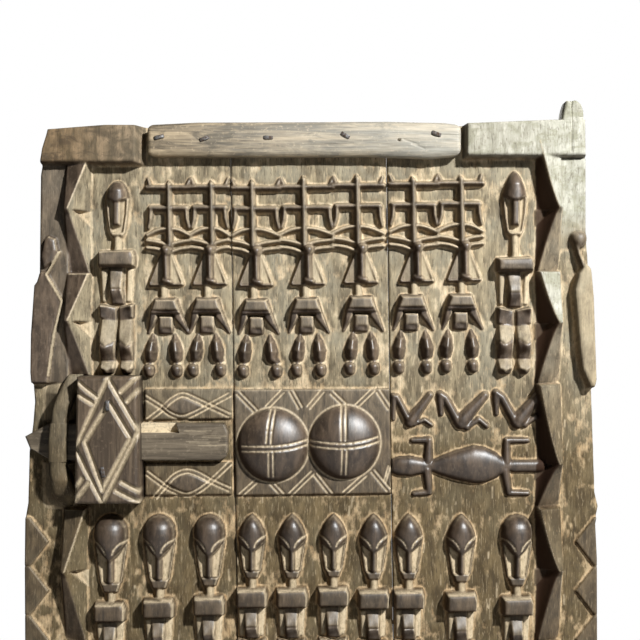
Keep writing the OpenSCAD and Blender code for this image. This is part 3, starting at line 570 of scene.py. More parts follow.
# ---------------- the carving, laid out
def lay_out():
    """Every form of the three planks, placed on the raster."""
    # an adzed ground
    relief[:] = (0.9 * cloud(46, 120, seed=1) + 0.6 * cloud(16, 50, seed=2)
                 + 1.3 * (scoops(8, 24, seed=3) - 0.5) + 0.4 * cloud(4, 17, seed=4))
    scratches(420)

    # outer edges
    plate(at(LEFT_X, 0, (-30, 66), (53, 66), (53, 463), (-30, 463)), 12, soft=5, tone=0.6)
    plate(at(LEFT_X, 0, (17, 198), (31, 204), (35, 226), (24, 246), (8, 258), (3, 236), (9, 206)),
          24, soft=9, tone=0.95)
    plate(at(LEFT_X, 0, (4, 262), (14, 262), (42, 317), (26, 377), (17, 463), (-30, 463),
             (-30, 290)), 20, soft=7, tone=0.85)
    chain(at(LEFT_X, 0, (36, 228), (13, 268), (41, 316), (26, 377), (16, 448)), 5.5, 22,
          tone=0.25, pale=0.5)
    where, x, d = window(RIGHT_X - 45, RIGHT_X + 60, 60, 262, pad=0)
    raised = np.interp(d, [60, 190, 262], [20, 8, 0]) + 0 * x
    shown = raised > relief[where]
    raise_to(where, raised, tone=0.0)
    bare_and_lit[where] = np.where(shown, np.clip((205 - d) / 50, 0, 1), bare_and_lit[where])
    plate(at(RIGHT_X, 0, (2, 246), (-12, 266), (-20, 296), (-16, 342), (-11, 402), (-6, 438),
             (8, 470), (60, 472), (60, 275), (18, 262)), 27, soft=10, tone=0.12, pale=0.3)
    chain(at(RIGHT_X, 0, (-14, 216), (-10, 232), (2, 262)), 10, 23, tone=0.5)
    egg(RIGHT_X - 9, 187, 33, 35, 26, tone=0.55)
    edge_triangles(LEFT_X - 18, 1, ANCESTOR_ROW + 6)
    edge_triangles(RIGHT_X + 20, -1, ANCESTOR_ROW + 6)

    # side columns, each figure with its top, its length and the place of its elbow
    low, tall = (29, 35, 40, 33, 13), (36, 37, 40, 33, 13)
    # tones of upper plane, lower plane and flank are painted light and shade: dark where a face
    # turns from the key light, pale where it turns to it
    column(LEFT_X + 50, 1, [(60, 206, 92), (266, 184, 84)], (1.0, 0.9, 0.15), low)
    column(LEFT_X + 44, 1, [(686, 240, 110), (926, 240, 110)], (0.4, 0.6, 0.15), low)
    for figures, tones in (([(30, 232, 119), (262, 201, 91)], (0.0, 0.4, 1.0)),
                           ([(463, 221, 141), (684, 240, 110), (924, 240, 110)],
                            (0.25, 0.5, 1.0))):
        column(RIGHT_X - 43, -1, figures, tones, tall, steep=2.0, hollow=0.8)

    # the ground climbs to the keeper's two feet
    for d0, d1, far in ((450, 529, 450), (604, 690, 690)):
        where, x, d = window(LEFT_X - 2, LEFT_X + 66, d0, d1, pad=0)
        run = np.clip((x - LEFT_X - 1) / 34, 0, 1) ** 1.3 * np.clip((LEFT_X + 66 - x) / 12, 0, 1)
        raise_to(where, 26 * run * np.clip(np.abs(d - far) / 30, 0, 1), tone=0.1, pale=0.35)

    # bars carved with the outer planks, bevelled back beside the battens
    for d0, d1, edge, way, bevel in ((-10, 70.5, LEFT_BAR_END, 1, BEVEL),
                                     (1169, 1246, LEFT_BAR_END, 1, BEVEL),
                                     (-10, 59, RIGHT_BAR_END, -1, 4),
                                     (1171, 1246, RIGHT_BAR_END, -1, 4)):
        where, u, v = window(edge - 300, edge + 300, d0, d1, pad=1)
        inward = np.minimum(v - d0, d1 - v) if d0 > 0 else d1 - v
        rounded = (1 - np.clip(inward / 7.0, 0, 1)) ** 2
        face = BAR + 0.8 * np.sin(u / 23.0 + v / 9.0) * np.sin(v / 14.0)
        ramp = np.clip(way * (edge - u) / bevel, 0, 1) * (face - 5 * rounded)
        ramp = np.where(inward > 0, ramp, 0)
        wins = (ramp > 0.5) & (ramp > relief[where])
        bare_and_lit[where] = np.where(wins, 1.0, bare_and_lit[where])
        flank_shade[where] = np.where(wins, 0.0, flank_shade[where])
        raise_to(where, ramp, tone=0.0, pale=0.0)
    groove((-1.6, -8), (-2.5, 50), 3.2, 4, pale=0.0)

    # figures of the upper row
    standing_head(-811, 100, tall=36, w=40, nose=81, chin=99, point=2.2)
    standing_body(-811, 100, neck=96, block=(124, 154), waist=221, hips=248, knees=294,
                  ankles=322, soles=345)
    standing_head(-99, 82, tall=51, w=43, nose=99, chin=115, point=1.6)
    standing_body(-99, 82, neck=112, block=(154, 180), waist=244, hips=276, knees=308,
                  ankles=336, soles=363)
    for x, row, top, left, right, face, body, *legs in MASKS:
        mask_cross(x, row, top, left, right)
        mask_face(x + face, row)
        dancer(x + body, row, legs)

    # lock row
    fish_panels()
    panel = at(SEAM_1, LOCK_ROW, (-6, 26), (311, 24), (311, 213), (-6, 217))
    where, u, v = window_of(panel, 17)
    within = (u > seam_x(SEAM_1, v)) & (u < seam_x(SEAM_2, v))
    raise_to(where, np.where(within, 8 * wall(inside_of(u, v, panel)), 0), 0.5)
    chevrons()
    breasts()
    bent_legs(SEAM_2, LOCK_ROW)
    crocodile(SEAM_2 + 5, LOCK_ROW + 162)

    # lowest row
    for side, figures in ((LEFT_X, ((127, 61), (214, 58), (304, 56))),
                          (SEAM_1, ((40, 50), (112, 50), (186, 49), (258, 51))),
                          (SEAM_2, ((40, 51), (134, 53), (234, 56)))):
        for x, w in figures:
            ancestor(side + x, ANCESTOR_ROW, w)


lay_out()

# ---------------- how it weathered, with painted shade and highlights
form = np.clip(polish + bare_and_lit + np.clip(relief - 4, 0, 1), 0, 1)  # 1 on forms, 0 on the ground
proud = np.minimum(np.where(form > 0.5, relief, 0.0), 12.0)
skirt = 0.7 * smooth(proud, 2.6)  # the fresh slope that the carver left at the foot of a form
sloped = (skirt > relief) & (skirt > 0.7) & (form < 0.5)
relief = np.maximum(relief, skirt)
polish = smooth(polish, 0.4)

# the ground away from forms lies a little higher and older, in patches
near = np.clip(smooth(form, 4.5) * 3.0, 0, 1)
patch = np.clip(0.8 + 0.5 * cloud(30, 60, seed=11) + 0.6 * cloud(7, 14, seed=12), 0, 1)
open_ground = smooth((1 - near) * patch, 1.5) * (1 - form)
relief += 2.0 * open_ground
fresh = 0.75 + 0.5 * cloud(8, 14, seed=13)
rim = np.clip(np.where(sloped, fresh, (1 - form) * (0.7 - open_ground)), 0, 1)
cream = np.clip(cream, 0, 1)
for axis in (0, 1):  # a light blur, so that no wall is steeper than the mesh can follow
    relief = (np.roll(relief, 1, axis) + 2 * relief + np.roll(relief, -1, axis)) / 4

# painted shade darkens tight hollows, what turns down or to the lock side away from the key light,
# and steep flanks; hands rub the high edges pale, and edges that face the light get a painted
# highlight
fall_d, fall_x = np.gradient(relief, CELL)
under = (fall_x - fall_d) * 0.7  # how steeply a place turns down or towards the lock side
painted_shade_map = np.clip((smooth(relief, 1.3) - relief) / 4.0, 0, 0.55)
painted_shade_map = np.maximum(painted_shade_map, 0.75 * smooth(np.clip(under * 1.3 - 0.25, 0, 1), 1.0))
painted_shade_map = np.maximum(painted_shade_map, smooth(flank_shade, 1.0))
# painted highlight on high edges, strongest where they face the key light
worn = np.clip((relief - smooth(relief, 1.6)) / 1.4 - 0.2, 0, 1) * (polish > 0.35)
cream = np.clip(cream + worn * np.clip(0.3 - 0.6 * under, 0, 0.8), 0, 1)


def sample(field, x, d):
    """Bilinear value of a raster at points."""
    u, v = (x - xs[0]) / CELL, (d - ds[0]) / CELL
    i = np.clip(u.astype(int), 0, len(xs) - 2)
    j = np.clip(v.astype(int), 0, len(ds) - 2)
    fu, fv = np.clip(u - i, 0, 1), np.clip(v - j, 0, 1)
    return ((field[j, i] * (1 - fu) + field[j, i + 1] * fu) * (1 - fv)
            + (field[j + 1, i] * (1 - fu) + field[j + 1, i + 1] * fu) * fv)


# ---------------- finishes
class Nodes:
    """A node tree that is built by calls."""

    def __init__(self, tree):
        self.tree = tree

    def add(self, kind, values=None, **settings):
        """A node with these settings; each value is a number or another node's output."""
        made = self.tree.nodes.new("ShaderNode" + kind)
        for key, value in settings.items():
            setattr(made, key, value)
        for key, value in (values or {}).items():
            self.feed(made.inputs[key], value)
        return made

    def feed(self, socket, value):
        """Links a node's output to a socket, or sets the socket's own value."""
        if isinstance(value, bpy.types.NodeSocket):
            self.tree.links.new(value, socket)
        elif isinstance(value, tuple) and len(value) == 3 and socket.type == "RGBA":
            socket.default_value = (*value, 1.0)
        else:
            socket.default_value = value

    def camera_sees(self, colour, others, kind):
        """A surface that shows the camera one plain colour and everything else another shader."""
        ray, flat = self.add("LightPath"), self.add(kind, {"Color": colour})
        return self.add("MixShader", {0: ray.outputs["Is Camera Ray"], 1: others,
                                      2: flat.outputs[0]}).outputs[0]


class Finish(Nodes):
    """One procedural material; its patterns lie in object space, their sizes given in mm."""

    def __init__(self, name, roughness=0.7):
        self.made = bpy.data.materials.new(name)
        self.made.use_nodes = True
        super().__init__(self.made.node_tree)
        self.shader = self.tree.nodes["Principled BSDF"]
        self.shader.inputs["Roughness"].default_value = roughness
        self.place = self.add("TexCoord").outputs["Object"]

    def noise(self, sizes, detail=3.0, rough=0.5, bend=0.0):
        """Random values about 0.5 in blotches of these sizes along X, Y and Z."""
        spot = self.add("Mapping", {"Vector": self.place,
                                    "Scale": tuple(1000.0 / size for size in sizes)})
        return self.add("TexNoise", {"Vector": spot.outputs[0], "Scale": 1.0, "Detail": detail,
                                     "Roughness": rough, "Distortion": bend}).outputs[0]

    def span(self, value, low, high, to=(0.0, 1.0)):
        """The value spread from low..high onto another range, and held inside it."""
        return self.add("MapRange", {"Value": value, "From Min": low, "From Max": high,
                                     "To Min": to[0], "To Max": to[1]}).outputs[0]

    def blend(self, share, first, second, how="MIX"):
        return self.add("Mix", {0: share, 6: first, 7: second}, data_type="RGBA",
                        blend_type=how).outputs[2]

    def lay(self, base, over, pattern, low, high, share=1.0):
        """The base, with another colour over it where a pattern passes from low to high."""
        return self.blend(self.span(pattern, low, high, (0, share)), base, over)

    def maths(self, how, first, second):
        return self.add("Math", {0: first, 1: second}, operation=how).outputs[0]

    def wear_and_light(self):
        """What the mesh's wear and light layer holds: handled, cut, fresh and bare, where handled,
        cut and bare also carry painted light and shade.
        """
        layer = self.add("Attribute", attribute_name="wear_and_light")
        tones = self.add("SeparateColor", {"Color": layer.outputs["Color"]}).outputs
        return tones[0], tones[1], tones[2], layer.outputs["Alpha"]

    def fibred(self, colour, fibre, share, bright):
        """The colour with fibre lines that are darker or lighter than it."""
        lines = self.blend(self.span(fibre, 0.3, 0.7), (0.62, 0.6, 0.58), (bright,) * 3)
        return self.blend(share, colour, lines, "MULTIPLY")

    def finish(self, colour, roughness=None, height=None, bump=0.5, deep=0.5):
        """Wires the colour, the roughness and a bump of deep mm, and returns the material."""
        self.feed(self.shader.inputs["Base Color"], colour)
        if roughness is not None:
            self.feed(self.shader.inputs["Roughness"], roughness)
        if height is not None:
            dents = self.add("Bump", {"Height": height, "Distance": deep / 1000.0,
                                      "Strength": bump})
            self.feed(self.shader.inputs["Normal"], dents.outputs[0])
        return self.made


def board(along, sizes):
    """Sizes along X, Y and Z of a pattern that runs down a board, turned for boards along X."""
    return sizes[::-1] if along == "X" else sizes


def grain(finish, along="Z"):
    """Fine fibre lines that run along the board's length."""
    return finish.noise(board(along, (1.3, 4.0, 55.0)), 3, 0.65)


def carved_wood():
    """Weathered ground, warm where it was cut last, dark handled relief and bare bars, with painted
    highlights in the pale tones and a painted shadow colour.
    """
    f = Finish("carved_wood")
    handled, cut, fresh, bare_and_lit = f.wear_and_light()
    painted_shade = f.add("Attribute", attribute_name="painted_shade").outputs["Fac"]
    fibre = grain(f)
    streaks = f.noise((15, 25, 45), 4, 0.55, 0.5)
    clouds = f.noise((60, 60, 80), 3, 0.5)
    specks = f.noise((4.5, 5, 8), 3, 0.62)
    nicks = f.noise((2.4, 5, 17), 3, 0.6, 0.3)
    stains = f.noise((42, 30, 24), 4, 0.6, 0.8)
    place = f.add("SeparateXYZ", {0: f.place}).outputs
    bleached, low = f.span(place["X"], -0.9, 0.0), f.span(place["Z"], 0.84, 0.66)

    old = f.lay((0.375, 0.31, 0.20), (0.175, 0.143, 0.094), streaks, 0.34, 0.62)
    old = f.lay(old, (0.33, 0.30, 0.22), clouds, 0.46, 0.62, 0.55)
    old = f.blend(low, old, (0.49, 0.43, 0.34), "MULTIPLY")
    new = f.lay((0.87, 0.71, 0.485), (0.58, 0.43, 0.255), streaks, 0.34, 0.66)
    new = f.lay(new, (0.36, 0.20, 0.085), specks, 0.56, 0.70, 0.45)
    new = f.blend(low, new, (0.92, 0.85, 0.76), "MULTIPLY")
    share = f.maths("ADD", fresh, f.span(specks, 0.3, 0.7, (-0.25, 0.25)))
    ground = f.blend(f.span(share, 0.15, 0.95), old, new)
    chipped = f.maths("MULTIPLY", f.span(nicks, 0.58, 0.68), f.span(low, 0, 1, (0.4, 0.32)))
    ground = f.blend(chipped, ground, (0.66, 0.52, 0.33))
    ground = f.lay(ground, (0.06, 0.045, 0.03), nicks, 0.42, 0.33, 0.6)

    brown = f.lay((0.30, 0.205, 0.115), (0.12, 0.085, 0.047), streaks, 0.38, 0.64)
    grey = f.lay((0.60, 0.585, 0.495), (0.37, 0.355, 0.28), streaks, 0.36, 0.64)
    stained = f.blend(bleached, (0.085, 0.06, 0.038), (0.33, 0.32, 0.23))
    weathered = f.lay(f.blend(bleached, brown, grey), stained, stains, 0.48, 0.60, 0.75)
    weathered = f.lay(weathered, (0.14, 0.115, 0.08), specks, 0.55, 0.68, 0.45)
    weathered = f.lay(weathered, (0.08, 0.06, 0.04), nicks, 0.42, 0.33, 0.5)

    dark = f.lay((0.168, 0.118, 0.078), (0.057, 0.038, 0.024), streaks, 0.36, 0.62)
    dark = f.lay(dark, (0.25, 0.19, 0.135), specks, 0.54, 0.70, 0.5)
    dark = f.blend(low, dark, (0.62, 0.59, 0.56), "MULTIPLY")
    dark = f.lay(dark, (0.025, 0.018, 0.013), nicks, 0.40, 0.32, 0.5)

    colour = f.blend(f.span(handled, 0.15, 0.75), f.blend(bare_and_lit, ground, weathered), dark)
    # the cut tone also carries painted highlights on lit edges and ridges
    rubbed = f.maths("MULTIPLY", cut, f.span(specks, 0.3, 0.55, (0.5, 1)))
    colour = f.fibred(f.blend(rubbed, colour, (0.78, 0.63, 0.42)), fibre, 0.5, 1.25)
    # painted shadow colour, laid on where the painted shade layer is high
    colour = f.blend(f.maths("MULTIPLY", painted_shade, 0.93), colour, (0.036, 0.017, 0.009))

    sheen = f.maths("SUBTRACT", handled, painted_shade)
    f.feed(f.shader.inputs["Specular IOR Level"], f.span(sheen, 0.2, 0.75, (0.15, 1.0)))
    height = f.maths("ADD", fibre, f.maths("MULTIPLY", nicks, 1.2))
    return f.finish(colour, f.span(sheen, 0.2, 0.75, (0.72, 0.44)), height, 0.3, 0.6)


def shade(tone, by):
    return tuple(by * part for part in tone)


def plain_wood(name, pale, dark, along="Z", rough=0.6, polish=0.0, bleach=0.0):
    """Wood of one tone: streaks, fibre lines, rubbed pale cuts where the wear layer asks."""
    f = Finish(name)
    cut = f.wear_and_light()[1]
    fibre = grain(f, along)
    streaks = f.noise(board(along, (11, 40, 150)), 4, 0.6, 0.5)
    specks = f.noise((6, 6, 6), 3, 0.6)
    knots = f.noise(board(along, (26, 30, 60)), 4, 0.65, 0.8)
    across = f.add("SeparateXYZ", {0: f.place}).outputs["X"]
    colour = f.lay(pale, dark, streaks, 0.36, 0.62)
    colour = f.lay(colour, shade(dark, 0.9), knots, 0.52, 0.64, 0.75)
    colour = f.lay(colour, shade(pale, 1.5), specks, 0.58, 0.72, 0.45)
    colour = f.lay(colour, (0.67, 0.65, 0.56), across, -0.75, -0.2, bleach)
    rubbed = f.maths("MULTIPLY", cut, f.span(specks, 0.3, 0.5, (0.5, 1)))
    colour = f.fibred(f.blend(rubbed, colour, (0.78, 0.64, 0.43)), fibre, 0.8, 1.22)
    gloss = f.span(streaks, 0.35, 0.65, (rough - polish, rough))
    return f.finish(colour, gloss, f.maths("ADD", fibre, specks), 0.5, 0.5)


def iron():
    """Hand-forged iron: black scale, brown rust and worn bright corners."""
    f = Finish("forged_iron")
    f.shader.inputs["Metallic"].default_value = 0.55
    rust, pits = f.noise((5, 5, 5), 4, 0.65), f.noise((1.2, 1.2, 1.2), 2, 0.6)
    colour = f.lay((0.19, 0.185, 0.18), (0.10, 0.065, 0.045), rust, 0.42, 0.6)
    return f.finish(colour, f.span(rust, 0.4, 0.6, (0.5, 0.85)), pits, 0.6, 0.4)


WOODS = {  # a pale and a dark tone, the way the board lies, roughness, polish, bleaching
    "batten_wood": ((0.46, 0.355, 0.225), (0.09, 0.07, 0.045), "X", 0.6, 0.0, 0.5),
    "lock_wood": ((0.165, 0.12, 0.08), (0.07, 0.049, 0.032), "Z", 0.5, 0.14),
    "bolt_wood": ((0.23, 0.185, 0.13), (0.105, 0.082, 0.056), "X", 0.5, 0.14),
    "tumbler_wood": ((0.24, 0.16, 0.10), (0.14, 0.09, 0.055)),
}
FINISHES = {"carved_wood": carved_wood(), "iron": iron(),
            **{name: plain_wood(name, *look) for name, look in WOODS.items()}}


def dress(obj, slot):
    """Gives an object the finish of its slot, and nothing else."""
    obj.data.materials.clear()
    obj.data.materials.append(FINISHES[slot])
    return obj


# ---------------- meshes
def new_object(name, verts, faces):
    """A smooth-shaded mesh in the scene, its points in mm."""
    mesh = bpy.data.meshes.new(name)
    mesh.from_pydata((np.asarray(verts) / 1000.0).tolist(), [], faces)
    mesh.validate()
    mesh.shade_smooth()
    obj = bpy.data.objects.new(name, mesh)
    bpy.context.scene.collection.objects.link(obj)
    return obj


def closed_block(name, x, z, front, back, skip=1, wear_and_light=None):
    """A closed mesh from a grid: a front, a back that keeps every skip-th column, and walls."""
    rows, cols = x.shape
    keep = sorted(set(range(0, cols, skip)) | {cols - 1})
    verts = np.concatenate([
        np.stack([x, front, z], -1).reshape(-1, 3),
        np.stack([x[:, keep], back[:, keep], z[:, keep]], -1).reshape(-1, 3)])
    first = rows * cols
    f = np.arange(first).reshape(rows, cols)
    b = first + np.arange(rows * len(keep)).reshape(rows, len(keep))

    def quads(g):
        return np.stack([g[:-1, :-1], g[:-1, 1:], g[1:, 1:], g[1:, :-1]], -1).reshape(-1, 4)

    faces = quads(f).tolist() + quads(b)[:, ::-1].tolist()
    f, b = f.tolist(), b.tolist()
    for i in range(rows - 1):
        faces.append([f[i][0], f[i + 1][0], b[i + 1][0], b[i][0]])
        faces.append([f[i + 1][-1], f[i][-1], b[i][-1], b[i + 1][-1]])
    for n, (k0, k1) in enumerate(pairwise(keep)):
        faces.append(f[0][k0:k1 + 1][::-1] + [b[0][n], b[0][n + 1]])
        faces.append(f[-1][k0:k1 + 1] + [b[-1][n + 1], b[-1][n]])
    obj = new_object(name, verts, faces)
    if wear_and_light is not None:
        paint(obj, wear_and_light, first, len(verts))
    return obj


def paint(obj, wear_and_light, first, total):
    """Stores a front's tones: red polish, green pale cut and painted highlight, blue rim, alpha
    bare bars and painted-lit planes; then painted shade.
    """
    layer = obj.data.color_attributes.new("wear_and_light", "FLOAT_COLOR", "POINT")
    values = np.zeros((total, 4), np.float32)
    values[:first] = np.stack(wear_and_light[:4], -1).reshape(-1, 4)
    layer.data.foreach_set("color", values.reshape(-1))
    if len(wear_and_light) > 4:
        painted_shade = obj.data.attributes.new("painted_shade", "FLOAT", "POINT")
        values = np.zeros(total, np.float32)
        values[:first] = wear_and_light[4].reshape(-1)
        painted_shade.data.foreach_set("value", values)


def ride(obj, slot, *nodes, body="door"):
    """Ties a finished piece to its body, its finish and the CAD nodes it stands for."""
    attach(obj, body)
    dress(obj, slot)
    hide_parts(*nodes)
    return obj


def tint(obj, handled, bared=0.0):
    """The same wear all over an object."""
    count = len(obj.data.vertices)
    paint(obj, [np.full(count, value) for value in (handled, 0.0, 0.0, bared)], count, count)
    return obj


# depth, then x
LEFT_EDGE = ([0, 12, 35, 68, 80, 262, 272, 279, 367, 435, 491, 529, 581, 673, 695, 781, 1160,
              1180, 1240],
             [-931, -934, -941, -946, -948, -950, -953, -958, -964, -965, -961, -964, -971, -973,
              -977, -978, -976, -978, -977])
RIGHT_EDGE = ([0, 60, 70, 205, 257, 313, 459, 479, 662, 687, 718, 779, 1160, 1180, 1240],
              [22, 23, 26, 29, 34, 39, 44, 40, 46, 52, 46, 49, 50, 53, 53])
# x, then how far the top edge stands above DOOR_H
LEFT_TOP = ([-935, -830, -600], [-11, -3, -3])
RIGHT_TOP = ([-330, -190, -40, 24], [-3, 0, 6, 7])


def worn_edge(deep, wide, *distances):
    """How far a face falls back, by up to deep mm, within wide mm of its nearest edge."""
    nearest = distances[0]
    for distance in distances[1:]:
        nearest = np.minimum(nearest, distance)
    return deep * np.clip(1 - nearest / wide, 0, 1) ** 2


def plank(name, left, right, top):
    """One plank: left and right edges as functions of depth, its top edge as one of x."""
    rows = int(DOOR_H / GRID)
    v = np.linspace(0, 1, rows)[:, None]
    d = DOOR_H * (1 - v)
    xl, xr = left(d), right(d)
    cols = int((xr - xl).mean() / GRID)
    x = xl + (xr - xl) * np.linspace(0, 1, cols)[None, :]
    z = (DOOR_H + top(x)) * v + 0 * x
    depth = DOOR_H - z
    high = sample(relief, x, depth)
    high -= worn_edge(2.2, 3.0, x - xl, xr - x, z, DOOR_H + top(x) - z)
    wave = 0.5 * np.sin(x / 31.0 + z / 170.0) + 0.4 * np.sin(z / 57.0 + x / 12.0)
    tones = [sample(layer, x, depth) for layer in (polish, cream, rim, bare_and_lit, painted_shade_map)]
    obj = closed_block(name + "_carved", x, z, GROUND_Y - high,
                       GROUND_Y + PLANK_T - 0.8 + 0 * x + wave, skip=8, wear_and_light=tones)
    return ride(obj, "carved_wood", name)


def follow(profile):
    """A profile as a function."""
    return lambda value: np.interp(value, *profile)


def seam_side(seam, way):
    """One side of a seam, as a function of depth."""
    return lambda d: seam_x(seam, d) + way * SEAM_GAP / 2


plank("left_plank", follow(LEFT_EDGE), seam_side(SEAM_1, -1), follow(LEFT_TOP))
plank("middle_plank", seam_side(SEAM_1, 1), seam_side(SEAM_2, -1), lambda x: 0 * x - 3)
plank("right_plank", seam_side(SEAM_2, 1), follow(RIGHT_EDGE), follow(RIGHT_TOP))


def skin(name, rings):
    """A closed mesh through rings of points in mm, each ring running the same way round."""
    n, last = len(rings[0]), len(rings) - 1
    faces = [[k * n + i, k * n + (i + 1) % n, (k + 1) * n + (i + 1) % n, (k + 1) * n + i]
             for k in range(last) for i in range(n)]
    faces += [list(range(n))[::-1], [last * n + i for i in range(n)]]
    return new_object(name, [point for ring in rings for point in ring], faces)


def join(name, parts):
    """One object from several."""
    bpy.ops.object.select_all(action="DESELECT")
    for part in parts:
        part.select_set(True)
    bpy.context.view_layer.objects.active = parts[0]
    bpy.ops.object.join()
    parts[0].name = name
    return parts[0]


def squircle(n, power):
    """Points round a soft-cornered square from -1 to 1."""
    out = []
    for i in range(n):
        c, s = math.cos(2 * math.pi * (i + .5) / n), math.sin(2 * math.pi * (i + .5) / n)
        out.append((math.copysign(abs(c) ** (2 / power), c),
                    math.copysign(abs(s) ** (2 / power), s)))
    return out


KEEPER_TOP, KEEPER_END = 446, 684
# depth, then the loop's left side, right side and front
KEEPER_LEFT = ([446, 466, 496, 511, 560, 622, 636, 652, 670, 684],
               [-896, -907, -920, -924, -927, -929, -925, -926, -920, -908])
KEEPER_RIGHT = ([446, 476, 500, 520, 560, 608, 628, 650, 668, 684],
                [-872, -879, -889, -894, -897, -896, -889, -883, -886, -893])
KEEPER_FRONT = ([446, 452, 470, 500, 560, 632, 660, 684], [24, 31, 38, 45, 47, 45, 30, 6])


def keeper():
    """Worn wooden loop that the bolt slides under, one with the lock-side plank."""
    top, low = BOLT_ROW - 33.7, BOLT_ROW + 33.7  # of the bolt's way through
    rings = []
    for d in sorted([*np.arange(KEEPER_TOP, KEEPER_END, 3.0), top - .4, top, low, low + .4]):
        left, right = np.interp(d, *KEEPER_LEFT), np.interp(d, *KEEPER_RIGHT)
        front = np.interp(d, *KEEPER_FRONT) + 0.7 * math.sin(d / 11.0)
        back = 27.3 if top <= d <= low else -3.0  # its feet go into the plank
        mid, half = (left + right) / 2, (right - left) / 2 + .5 * math.sin(d / 17)
        rings.append([(mid + half * a, GROUND_Y - (front + back) / 2 - (front - back) / 2 * b,
                       DOOR_H - d) for a, b in squircle(28, 3.4)])
    return ride(tint(skin("keeper_loop", rings[::-1]), 0.3), "carved_wood", "left_plank")


def upper_pivot():
    """Square peg above the top right corner, its top worn round, split down the front."""
    root, tip = -20, 32.5  # heights about the bar's top
    rows = np.linspace(root, tip, 54)[:, None]
    left = np.interp(rows, [root, 0, 31, tip], [-18, -17.6, -12.5, -10.5])
    right = np.interp(rows, [root, 15, 27, 31, tip], [20, 18.5, 14.5, 9, 6])
    x = left + (right - left) * np.linspace(0, 1, 42)[None, :]
    z = DOOR_H + 7 + rows + 0.6 * np.sin(x / 3.0)
    fall = worn_edge(2.4, 4.0, x - left, right - x, tip - rows)
    split = 3.0 * np.clip(1 - np.abs(x + 1.6 + .8 * np.sin(rows / 9.0)) / 1.3, 0, 1)
    nicks = 6.0 * np.clip(np.sin(rows / 2.3) - .75, 0, 1) * np.clip((x - 8) / 6, 0, 1)
    front = GROUND_Y - BAR + fall + split + nicks + .3 * np.sin(x / 2.1 + rows / 15.0)
    back = 24 - np.interp(rows, [18, 28, tip], [0, 9, 20]) - fall + 0 * x
    obj = closed_block("upper_pivot_peg", x, z, front, back)
    return ride(tint(obj, 0.0, 1.0), "carved_wood", "right_plank")


# height, then radius
PIVOT_WORN = ([-41.8, -41, -39.5, -37, -30, 0], [15, 18, 20, 20.8, 21, 20.9])


def lower_pivot():
    """Round stub that turns in the sill, polished by turning and frayed at its tip."""
    rings = []
    for z in [*PIVOT_WORN[0][:4], *np.arange(-34, 12, 2.0)]:
        worn = np.interp(z, *PIVOT_WORN)
        rings.append([((worn + .25 * math.sin(5 * a + z / 3) - .3 * abs(math.sin(z / 5.0)))
                       * math.cos(a), worn * math.sin(a), z)
                      for a in np.linspace(0, 2 * math.pi, 48, endpoint=False)])
    return ride(tint(skin("lower_pivot_stub", rings), 0.6), "carved_wood", "right_plank")


BATTENS = (("top_batten", DOOR_H - BATTEN_H - 2, 21), ("bottom_batten", 2, 31))  # low edge, seed
BATTEN_X = (-754.0, -198.0)
BATTEN_KNOCKS = (  # x, height, run, lift and depth
    (-300, 30, 26, -9, 1.6), (-285, 22, 22, -8, 1.4), (-700, 44, 60, 3, .8),
    (-480, 20, 90, 2, .9), (-232, 38, 36, -1, 1.3), (-600, 14, 50, -2, .8))


def batten(name, low, seed):
    """Let-in cross batten: hewn face, irregular edges, worn round ends."""
    x0, x1 = BATTEN_X
    rows, cols = 46, 372
    v = np.linspace(0, 1, rows)[:, None]
    x = x0 + (x1 - x0) * np.linspace(0, 1, cols)[None, :] + 0 * v
    top = low + np.interp(x, [x0, x0 + 90, -330, x1 - 30, x1], [56.5, 61, 62.5, 60, 56])
    bottom = low + np.interp(x, [x0, -560, -360, -250, x1], [1.5, 1.0, 2.2, -2.0, 3.5])
    end = np.minimum(x - x0, x1 - x)
    corner = 9 * (1 - np.sqrt(np.clip(1 - (1 - np.clip(end / 11, 0, 1)) ** 2, 0, 1)))
    z = (bottom + corner) + (top - bottom - 2 * corner) * v
    hewn = 1.2 * cloud(70, 26, (80, 470), seed) + .35 * cloud(14, 3.2, (80, 470), seed + 1)
    high = BAR + hewn[:rows, :cols] - 0.0045 * (z - (top + bottom) / 2) ** 2
    high -= worn_edge(4.5, 9.0, z - bottom - corner, top - corner - z, end * 1.3)
    for cx, cz, run, lift, deep in BATTEN_KNOCKS:
        off, _ = segment(x, z - low, (cx, cz), (cx + run, cz + lift))
        high -= deep * np.clip(1 - off / 1.6, 0, 1)
    if name == "top_batten":  # an old nail hole
        high -= 7 * (np.hypot(x + 308, z - low - 29) < 2.6)
    obj = closed_block(name + "_hewn", x, z, GROUND_Y - high, GROUND_Y + 0 * x, skip=4)
    return ride(obj, "batten_wood", name)


STRAP_W, STRAP_T = 6.6, 2.6  # the iron strip of every staple


def strap(path, up, seed):
    """A bent strip of forged iron along path; up is the direction of its width."""
    path = [Vector(p) for p in path]
    up = Vector(up).normalized()
    rings = []
    for i, spot in enumerate(path):
        run = (path[min(i + 1, len(path) - 1)] - path[max(i - 1, 0)]).normalized()
        side = run.cross(up).normalized()
        wobble = 1 + .06 * math.sin(seed * 3.1 + i * 1.7)
        rings.append([tuple(spot + up * (a * STRAP_W / 2 * wobble) + side * (b * STRAP_T / 2))
                      for a, b in squircle(12, 3.2)])
    return skin("strap", rings)


def staple(x, y, z, tilt, span, leg, way=-1, seed=0):
    """U-shaped staple with its back at y, legs driven the other way, tilted about Y."""
    half = span / 2 - STRAP_T / 2
    bow = [(-half, leg), (-half, 6), (-half, 2.2), (-half * .93, .4), (-half * .72, -.2),
           (-half * .3, -.7), (half * .3, -.8), (half * .72, -.1), (half * .93, .5),
           (half, 2.4), (half, 6), (half, leg)]
    c, s = math.cos(math.radians(tilt)), math.sin(math.radians(tilt))
    face = y + way * STRAP_T / 2
    path = [(x + c * a, face - way * b, z - s * a) for a, b in bow]
    return strap(path, (s, 0, c), seed)


